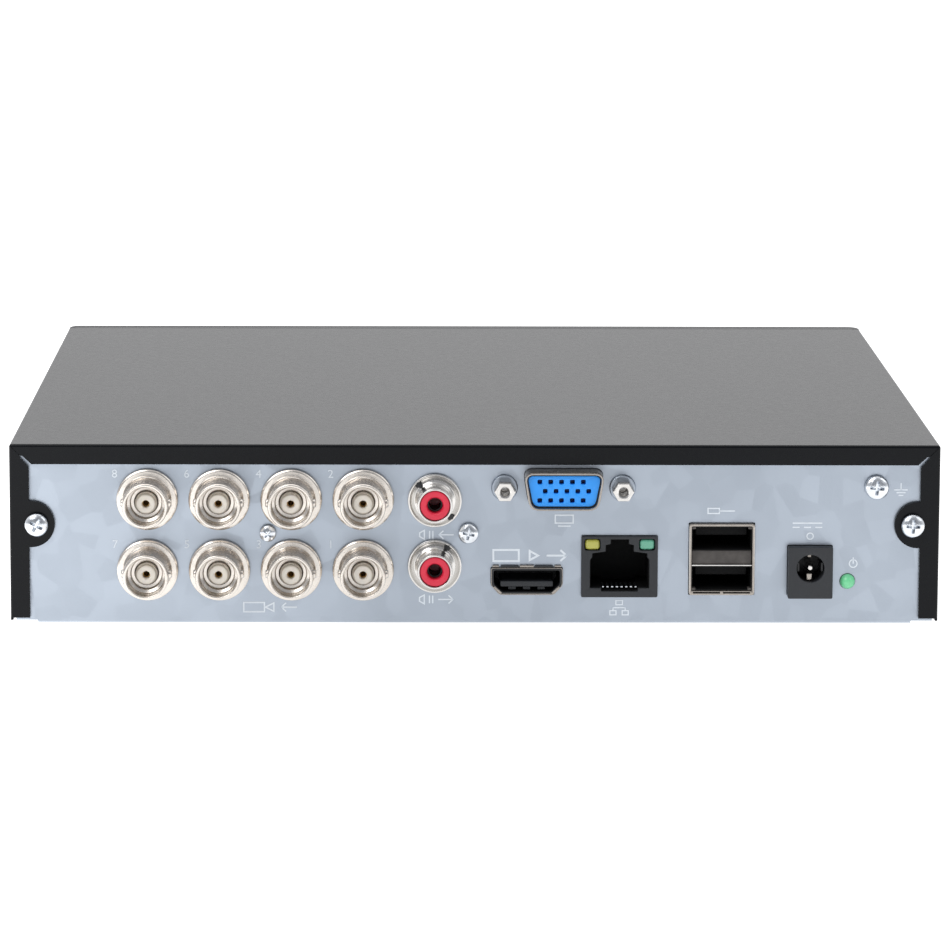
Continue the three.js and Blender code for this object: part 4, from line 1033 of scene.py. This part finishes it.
def make_power_led():
    """Domed indicator on two bent legs."""
    box = Box("power_led")
    bm = bmesh.new()
    dome = [(1.6 * math.cos(a), 0.2 + 1.6 * math.sin(a)) for a in [math.pi / 2 * k / 8 for k in range(8)]]
    turned(bm, [(0, -5.2), (LED_FLANGE, -5.2), (LED_FLANGE, -4.2), (1.6, -4.2), *dome, (0, 1.8)],
           (box.x, PANEL_Y, LED_Z), 40, 0.04)
    piece("power_led_lens", bm, "led_green", ["power_led"])
    bm = bmesh.new()
    for side in (-1, 1):
        x = box.x + side * 1.27
        bend = PANEL_Y - 7.35
        swept(bm, [(x, PANEL_Y - 5.0, LED_Z), (x, PANEL_Y - 7.0, LED_Z), (x, bend, LED_Z - 0.35),
                   (x, bend, box.z0)], 0.25, 8)
    piece("power_led_legs", bm, "zinc_screw")


# ---------------------------------------------------------------- printed marks

INK_Y = (PANEL_Y - 0.05, PANEL_Y + 0.06)


def line(bm, start, end, width=0.3):
    """Printed bar between two points of the panel."""
    a, b = Vector(start), Vector(end)
    along = (b - a).normalized() * width / 2
    across = Vector((-along.y, along.x))
    bar = [a - along - across, b + along - across, b + along + across, a - along + across]
    plate(bm, [bar], INK_Y, 0)


def loop(bm, points, width=0.3):
    """Printed line along a closed path."""
    path = [Vector(p) for p in points]
    plate(bm, [shrunk(path, -width / 2), shrunk(path, width / 2)], INK_Y, 0)


def ring(bm, x, z, radius, width):
    plate(bm, [disc(x, z, radius), disc(x, z, radius - width)], INK_Y, 0)


def frame_mark(bm, x, z, wide, high, width=0.3):
    """Printed rectangle standing round a point."""
    loop(bm, rectangle(span(x, wide), span(z, high)), width)


def arrow(bm, x, z, length, side, width=0.3):
    """Level arrow whose head points to the side: -1 is the viewer's right."""
    tip = x + side * length / 2
    line(bm, (x - side * length / 2, z), (tip, z), width)
    for rise in (-1, 1):
        line(bm, (tip, z), (tip - side * length * 0.28, z + rise * length * 0.26), width)


def digit_mesh(text, x, z, size):
    """A number as thin raised ink, facing away from the panel."""
    curve = bpy.data.curves.new("number", "FONT")
    curve.body = text
    curve.size = size
    curve.align_x = "CENTER"
    curve.align_y = "CENTER"
    curve.extrude = 0.05
    curve.resolution_u = 4
    holder = bpy.data.objects.new("number", curve)
    scene.collection.objects.link(holder)
    bpy.context.view_layer.update()
    evaluated = holder.evaluated_get(bpy.context.evaluated_depsgraph_get())
    mesh = bpy.data.meshes.new_from_object(evaluated)
    bpy.data.objects.remove(holder)
    mesh.transform(Matrix(((-1, 0, 0, x), (0, 0, 1, PANEL_Y + 0.01), (0, 1, 0, z), (0, 0, 0, 1))))
    return mesh


def make_numbers():
    """Channel numbers beside the bayonet jacks."""
    bm = bmesh.new()
    for number, jack in BNC.items():
        bm.from_mesh(digit_mesh(str(number), jack.x + 6.9, jack.z + 5.3, 2.5))
    piece("channel_numbers", bm, material=GLOWING_INK)


def make_marks():
    """Plain pictograms beside the sockets."""
    bm = bmesh.new()
    camera_x, camera_z = 45.7, 6.15
    frame_mark(bm, camera_x + 1.2, camera_z, 4.4, 2.0)
    lens_x = camera_x - 3.0
    loop(bm, [(camera_x - 1.2, camera_z), (lens_x, camera_z + 0.9), (lens_x, camera_z - 0.9)])
    arrow(bm, camera_x - 6.2, camera_z, 3.2, 1)
    for name, rise, side in (("audio_in", -7.5, 1), ("audio_out", -7.3, -1)):
        x, z = AUDIO[name].x, AUDIO[name].z + rise
        loop(bm, [(x + 3.2, z - 0.4), (x + 3.2, z + 0.4), (x + 2.2, z + 0.95), (x + 2.2, z - 0.95)], 0.28)
        for reach in (1.1, 0.4):
            line(bm, (x + reach, z - 0.7), (x + reach, z + 0.7), 0.28)
        arrow(bm, x - 2.4, z, 3.0, side, 0.28)
    vga = Box("vga_shell")
    frame_mark(bm, vga.x - 0.2, vga.z - 6.8, 3.8, 1.7)
    line(bm, (vga.x - 1.4, vga.z - 8.3), (vga.x + 1.0, vga.z - 8.3))
    hdmi = Box("hdmi_shell")
    x, z = hdmi.x, hdmi.z + 5.4
    frame_mark(bm, x + 4.4, z, 5.4, 2.4, 0.42)
    loop(bm, [(x - 0.6, z - 1), (x - 0.6, z + 1), (x - 2.4, z)], 0.42)
    arrow(bm, x - 6.4, z, 4.0, -1, 0.42)
    lan = Box("lan_jack")
    base, reach = lan.z0 - 3.3, 1.3
    for x in (lan.x - reach, lan.x + reach):
        frame_mark(bm, x, base - 0.7, 1.3, 0.9, 0.24)
        line(bm, (x, base), (x, base + 0.4), 0.24)
    frame_mark(bm, lan.x, base + 1.5, 1.4, 0.9, 0.24)
    line(bm, (lan.x - reach, base + 0.4), (lan.x + reach, base + 0.4), 0.24)
    usb = Box("usb_shell")
    x, z = usb.x, usb.z1 + 2.6
    frame_mark(bm, x + 1.8, z, 2.4, 1.1, 0.26)
    line(bm, (x + 0.6, z), (x - 2.6, z), 0.26)
    dc = Box("dc_jack")
    x, z = dc.x, dc.z1 + 3.9
    line(bm, (x + 3.6, z + 0.9), (x - 2.4, z + 0.9))
    for start in (3.6, 1.2, -1.2):
        line(bm, (x + start, z), (x + start - 1.2, z))
    ring(bm, x, dc.z1 + 2.0, 0.8, 0.26)
    x = Box("power_led").x - 1.2
    ring(bm, x, LED_Z + 3.8, 0.95, 0.26)
    line(bm, (x, LED_Z + 3.9), (x, LED_Z + 5.0), 0.26)
    ground = Box("ground_screw")
    x, z = ground.x - 5.2, ground.z - 0.6
    for i, half in enumerate((1.3, 0.85, 0.4)):
        line(bm, (x - half, z - i * 0.6), (x + half, z - i * 0.6), 0.26)
    line(bm, (x, z), (x, ground.z + 0.7), 0.26)
    piece("socket_marks", bm, material=GLOWING_INK)


# ---------------------------------------------------------------- main board

BOARD_Z = 8.7  # the board's upper face
CHIPS = [  # centre x, centre y, width, depth, height, leads on the short sides too
    (-22, 42, 14, 14, 1.5, True), (-22, 22, 9, 12, 1.1, False), (4, 42, 14, 14, 1.5, True),
    (26, 44, 10, 10, 1.4, True), (-82, 38, 8, 13, 1.1, False), (-36, 24, 8, 13, 1.1, False),
    (-68, 20, 5.2, 6, 1.6, False), (-54, 19, 5.2, 6, 1.6, False), (44, 58, 5.2, 5, 1.5, False),
    (28, 60, 5.2, 5, 1.5, False), (8, 60, 5.2, 5, 1.5, False), (-48, 62, 7, 9, 1.8, False),
]
CANS = [  # centre x, centre y, radius, height
    (-84, 70, 4, 9), (-84, 60, 3.15, 7), (-62, 65, 3.15, 7), (-71, 62, 2.5, 5.5), (-88, 50, 2.5, 5.5),
    (50, 22, 3.15, 7), (58, 22, 3.15, 7), (18, 22, 2.5, 5.5), (82, 56, 4, 9), (84, 67, 2.5, 5.5),
]
# centre x, centre y, half width and half depth of what the small parts keep clear of
RESERVED = [(-58, 42, 17, 17), (66, 40, 14, 14), (88, 28, 9, 14), (-19, 74, 22, 18), (46, 80, 34, 13),
            (6, 80, 12, 11), (-52, 82, 9, 12), (-71, 84, 7, 7), (0, 17, 4, 4), (86, 17, 4, 4),
            (-86, 17, 4, 4)]
SMALL_PARTS = 130
LEAD_PITCH = 1.27


def stood(bm, x, y, wide, deep, low, high, edge=0.2):
    """Block on the board round a point, between two heights above it."""
    block(bm, span(x, wide), span(y, deep), (BOARD_Z + low, BOARD_Z + high), edge, "Z")


def make_board():
    """Main board and what stands on it: chips, capacitors, small parts, coin cell and heat sink."""
    bm = bmesh.new()
    outline = rectangle(BOARD.x_span, BOARD.y_span, 1.0)
    plate(bm, [outline, *[disc(x, y, 1.6) for x, y in BOARD_POSTS]], (BOARD.z0, BOARD_Z), 0.08, "Z")
    piece("recorder_board", bm, "circuit_board", ["main_board"])
    bm = bmesh.new()
    leads = bmesh.new()
    stood(bm, -58, 42, 24, 24, 0, 1.6)
    for x, y, wide, deep, high, all_round in CHIPS:
        stood(bm, x, y, wide, deep, 0.12, high)
        sides = [(wide, deep, True)] + ([(deep, wide, False)] if all_round else [])
        for reach, run, along_y in sides:
            count = int(run / LEAD_PITCH) - 1
            for i in range(count):
                shift = (i - (count - 1) / 2) * LEAD_PITCH
                for side in (-1, 1):
                    out = span(side * (reach / 2 + 0.4), 1.0)
                    across = span(shift, 0.45)
                    x_span, y_span = (out, across) if along_y else (across, out)
                    block(leads, (x + x_span[0], x + x_span[1]), (y + y_span[0], y + y_span[1]),
                          (BOARD_Z + 0.02, BOARD_Z + 0.4), 0.08, "Z")
    piece("board_chips", bm, material=DARK)
    piece("chip_leads", leads, "zinc_screw")
    bm = bmesh.new()
    bands = bmesh.new()
    for x, y, radius, high in CANS:
        at = (x, y, BOARD_Z)
        rod(bands, radius + 0.3, (0, 0.9), at, 24, 0.15, "Z")
        turned(bm, [(0, 0.9), (radius, 0.9), (radius, 1.7), (radius - 0.25, 1.9), (radius, 2.1),
                    (radius, high), (radius - 0.5, high), (0, high - 0.15)], at, 32, 0.15, "Z")
    piece("capacitor_cans", bm, material=CAN)
    piece("capacitor_bases", bands, "black_plastic")
    bm = bmesh.new()
    rng = random.Random(7)
    taken = [(c[0], c[1], c[2] / 2 + 1.6, c[3] / 2 + 1.6) for c in CHIPS]
    taken += [(x, y, r + 1.5, r + 1.5) for x, y, r, _ in CANS]
    taken += RESERVED
    placed = 0
    while placed < SMALL_PARTS:
        x, y = rng.uniform(-90, 90), rng.uniform(13, 86)
        if any(abs(x - tx) < rx and abs(y - ty) < ry for tx, ty, rx, ry in taken):
            continue
        wide, deep = (1.6, 0.8) if rng.random() < 0.5 else (0.8, 1.6)
        stood(bm, x, y, wide, deep, 0.02, 0.5, 0.08)
        taken.append((x, y, 1.6, 1.6))
        placed += 1
    piece("small_parts", bm, "cream_plastic")
    bm = bmesh.new()
    for x, y in ((-68, 76), (-40, 44)):
        stood(bm, x, y, 7, 7, 0.05, 3.4, 0.7)
    stood(bm, 38, 15.5, 16, 3, 0.05, 6)
    stood(bm, -5, 26, 14, 4, 0.05, 4)
    piece("coils_and_headers", bm, "black_plastic")
    cell = Box("coin_cell")
    bm = bmesh.new()
    top = cell.z1 - cell.z0
    turned(bm, [(0, 0), (8.6, 0), (9.4, 0.5), (10, 1.0), (10, top - 0.1), (9.7, top), (9.0, top),
                (8.8, top - 0.15), (0, top - 0.15)], (cell.x, cell.y, cell.z0), 64, 0.12, "Z")
    piece("cell_disc", bm, "zinc_screw", ["coin_cell"])
    bm = bmesh.new()
    turned(bm, [(10.25, -0.2), (11.3, -0.2), (11.3, 2.4), (10.25, 2.4)], (cell.x, cell.y, cell.z0),
           56, 0.15, "Z")
    piece("cell_holder", bm, "black_plastic")
    sink = Box("heat_sink")
    bm = bmesh.new()
    block(bm, sink.x_span, sink.y_span, (sink.z0, sink.z0 + 2), 0.2, "Z")
    fins, thick, aisle = 8, 1.4, 2
    long = (sink.y1 - sink.y0) / 2 - aisle / 2
    for i in range(fins):
        x = sink.x0 + thick / 2 + i * (sink.x1 - sink.x0 - thick) / (fins - 1)
        for y in (sink.y0, sink.y0 + long + aisle):
            block(bm, span(x, thick), (y, y + long), (sink.z0 + 1.5, sink.z1), 0.25, "Z")
    piece("heat_sink_fins", bm, "cast_aluminium", ["heat_sink"])


# ---------------------------------------------------------------- hard drive


def make_drive():
    """The hard drive's pressed lid with its screws and label, and the platters under it."""
    lid, stack = Box("hdd_cover"), Box("hdd_platters")
    plate_z = lid.z0 + 1.2
    bm = bmesh.new()
    outline = rectangle(lid.x_span, lid.y_span, 2.5)
    plate(bm, [outline], (lid.z0, plate_z), 0.3, "Z")
    low = plate_z - 0.3 - lid.z1
    turned(bm, [(0, low), (43.5, low), (42.4, -0.1), (39.5, 0), (39, -0.5), (16, -0.5), (15.4, -0.1),
                (11, -0.1), (10.5, -0.6), (0, -0.6)], (stack.x, stack.y, lid.z1), 96, 0.3, "Z")
    arm_area = rectangle((stack.x + 30, lid.x1 - 14), (lid.y0 + 12, lid.y1 - 12), 7)
    plate(bm, [arm_area], (plate_z - 0.3, lid.z1 - 0.2), 0.35, "Z")
    piece("drive_lid", bm, "drive_lid", ["hdd_cover"])
    bm = bmesh.new()
    for x in (lid.x0 + 5, stack.x + 26, lid.x1 - 5):
        for y in (lid.y0 + 4.5, lid.y1 - 4.5):
            turned(bm, [(0, -0.2), (2.6, -0.2), (2.6, 0.35), (2.1, 0.75), (1.1, 0.75), (1.0, 0.1),
                        (0, 0.1)], (x, y, plate_z), 32, 0.12, "Z")
    piece("drive_lid_screws", bm, "zinc_screw")
    bm = bmesh.new()
    plate(bm, [rectangle(span(stack.x + 58, 34), span(stack.y, 60), 1.0)],
          (lid.z1 - 0.21, lid.z1 - 0.1), 0.04, "Z")
    piece("drive_label", bm, material=LABEL)
    bm = bmesh.new()
    for i in range(9):
        block(bm, span(stack.x + 58, 26 - 5 * (i % 3)), span(stack.y - 20 + i * 5, 1.0),
              (lid.z1 - 0.1, lid.z1 - 0.07), 0.01, "Z")
    piece("drive_label_bars", bm, material=DARK)
    bm = bmesh.new()
    bore, hub, rim = 4.4, 14, 47.5
    turned(bm, [(bore, stack.z0), (hub, stack.z0), (hub, 18.0), (rim, 18.0), (rim, 19.3), (hub, 19.3),
                (hub, 23.5), (rim, 23.5), (rim, 24.8), (hub, 24.8), (hub, 25.3), (12.5, stack.z1),
                (bore, stack.z1)], (stack.x, stack.y, 0), 128, 0.12, "Z")
    piece("platter_stack", bm, "platter_mirror", ["hdd_platters"], body="platters", smooth=30)
    bm = bmesh.new()
    for k in range(6):
        angle = k * math.pi / 3
        at = (stack.x + 9 * math.cos(angle), stack.y + 9 * math.sin(angle), stack.z1)
        rod(bm, 1.3, (-0.6, -0.05), at, 20, 0.1, "Z")
    piece("hub_screws", bm, "zinc_screw", body="platters")


KEPT = {
    "hdd_base": ("cast_aluminium", 0.5), "hdd_arm": ("cast_aluminium", 0.25),
    "hdd_board": ("circuit_board", 0.1), "sata_data_cable": ("red_lead", 0.35),
    "sata_power_cable": ("black_lead", 0.35),
}

for make in (make_tray, make_cover, make_bezel, make_feet, make_screws, make_bnc, make_bnc_block,
             make_audio, make_vga, make_hdmi, make_lan, make_usb, make_dc, make_power_led,
             make_numbers, make_marks, make_board, make_drive):
    make()

for name, (slot, edge) in KEPT.items():
    keep_node(name, slot, edge)


# ---------------------------------------------------------------- stage, light and camera


def make_stage():
    """Glowing white floor, a little dimmer in the middle and brightest to the viewer's left."""
    bm = bmesh.new()
    bmesh.ops.create_grid(bm, x_segments=1, y_segments=1, size=6.0)
    mesh = bpy.data.meshes.new("floor")
    bm.to_mesh(mesh)
    bm.free()
    floor = bpy.data.objects.new("floor", mesh)
    scene.collection.objects.link(floor)
    material = bpy.data.materials.new("floor")
    material.use_nodes = True
    tree = material.node_tree
    shader = tree.nodes["Principled BSDF"]
    set_inputs(shader, Base_Color=(0.3, 0.3, 0.3, 1), Roughness=0.9, Specular_IOR_Level=0.1,
               Emission_Color=(1, 1, 1, 1))
    place = tree.nodes.new("ShaderNodeTexCoord")
    axes = add_node(tree, "ShaderNodeSeparateXYZ", [("Vector", place.outputs["Object"])])
    aside = add_node(tree, "ShaderNodeMath", [(0, axes.outputs["X"])], [("operation", "ABSOLUTE")])
    both = spread(tree, aside.outputs["Value"], 0.93, 1.16, 0.02, 0.1)
    left = spread(tree, axes.outputs["X"], 0, 0.5, 0.02, 0.14)
    glow = add_node(tree, "ShaderNodeMath", [(0, both), (1, left)], [("operation", "ADD")])
    tree.links.new(glow.outputs["Value"], shader.inputs["Emission Strength"])
    mesh.materials.append(material)


def make_light(name, place, target, size, energy):
    data = bpy.data.lights.new(name, "AREA")
    data.shape = "RECTANGLE"
    data.size, data.size_y = size
    data.energy = energy
    light = bpy.data.objects.new(name, data)
    light.location = place
    light.rotation_euler = (Vector(target) - Vector(place)).to_track_quat("-Z", "Y").to_euler()
    scene.collection.objects.link(light)


def make_world():
    """Surroundings that are white towards the front of the case and grey beyond its panel."""
    world = bpy.data.worlds.new("studio")
    scene.world = world
    world.use_nodes = True
    tree = world.node_tree
    background = tree.nodes["Background"]
    place = tree.nodes.new("ShaderNodeTexCoord")
    axes = add_node(tree, "ShaderNodeSeparateXYZ", [("Vector", place.outputs["Generated"])])
    ramp = spread(tree, axes.outputs["Y"], 0, 1, -0.4, 0.9)
    colour = blend(tree, ramp, (1.04, 1.04, 1.05, 1), (0.30, 0.31, 0.33, 1))
    tree.links.new(colour, background.inputs["Color"])
    background.inputs["Strength"].default_value = 1.0


def make_camera():
    data = bpy.data.cameras.new("camera")
    data.lens = 184.4
    data.clip_end = 50
    camera = bpy.data.objects.new("camera", data)
    camera.location = (0.0152, 1.1069, 0.2007)
    yaw, pitch, roll = 0.01489, 0.16191, 0.00383
    level = Vector((math.sin(yaw), math.cos(yaw), 0)) * math.cos(pitch)
    forward = -level - Vector((0, 0, math.sin(pitch)))
    turn = forward.to_track_quat("-Z", "Y").to_matrix() @ Matrix.Rotation(roll, 3, "Z")
    camera.rotation_euler = turn.to_euler()
    scene.collection.objects.link(camera)
    scene.camera = camera


make_stage()
make_world()
make_light("key", (0.7, 0.9, 1.1), (0, 0, 0), (0.9, 0.9), 9)
make_light("fill", (-0.9, 0.6, 0.8), (0, 0, 0), (0.7, 0.7), 1.5)
make_light("top", (0.0, -0.2, 1.6), (0, 0, 0), (1.4, 1.4), 6)
make_camera()
scene.view_settings.view_transform = "Standard"
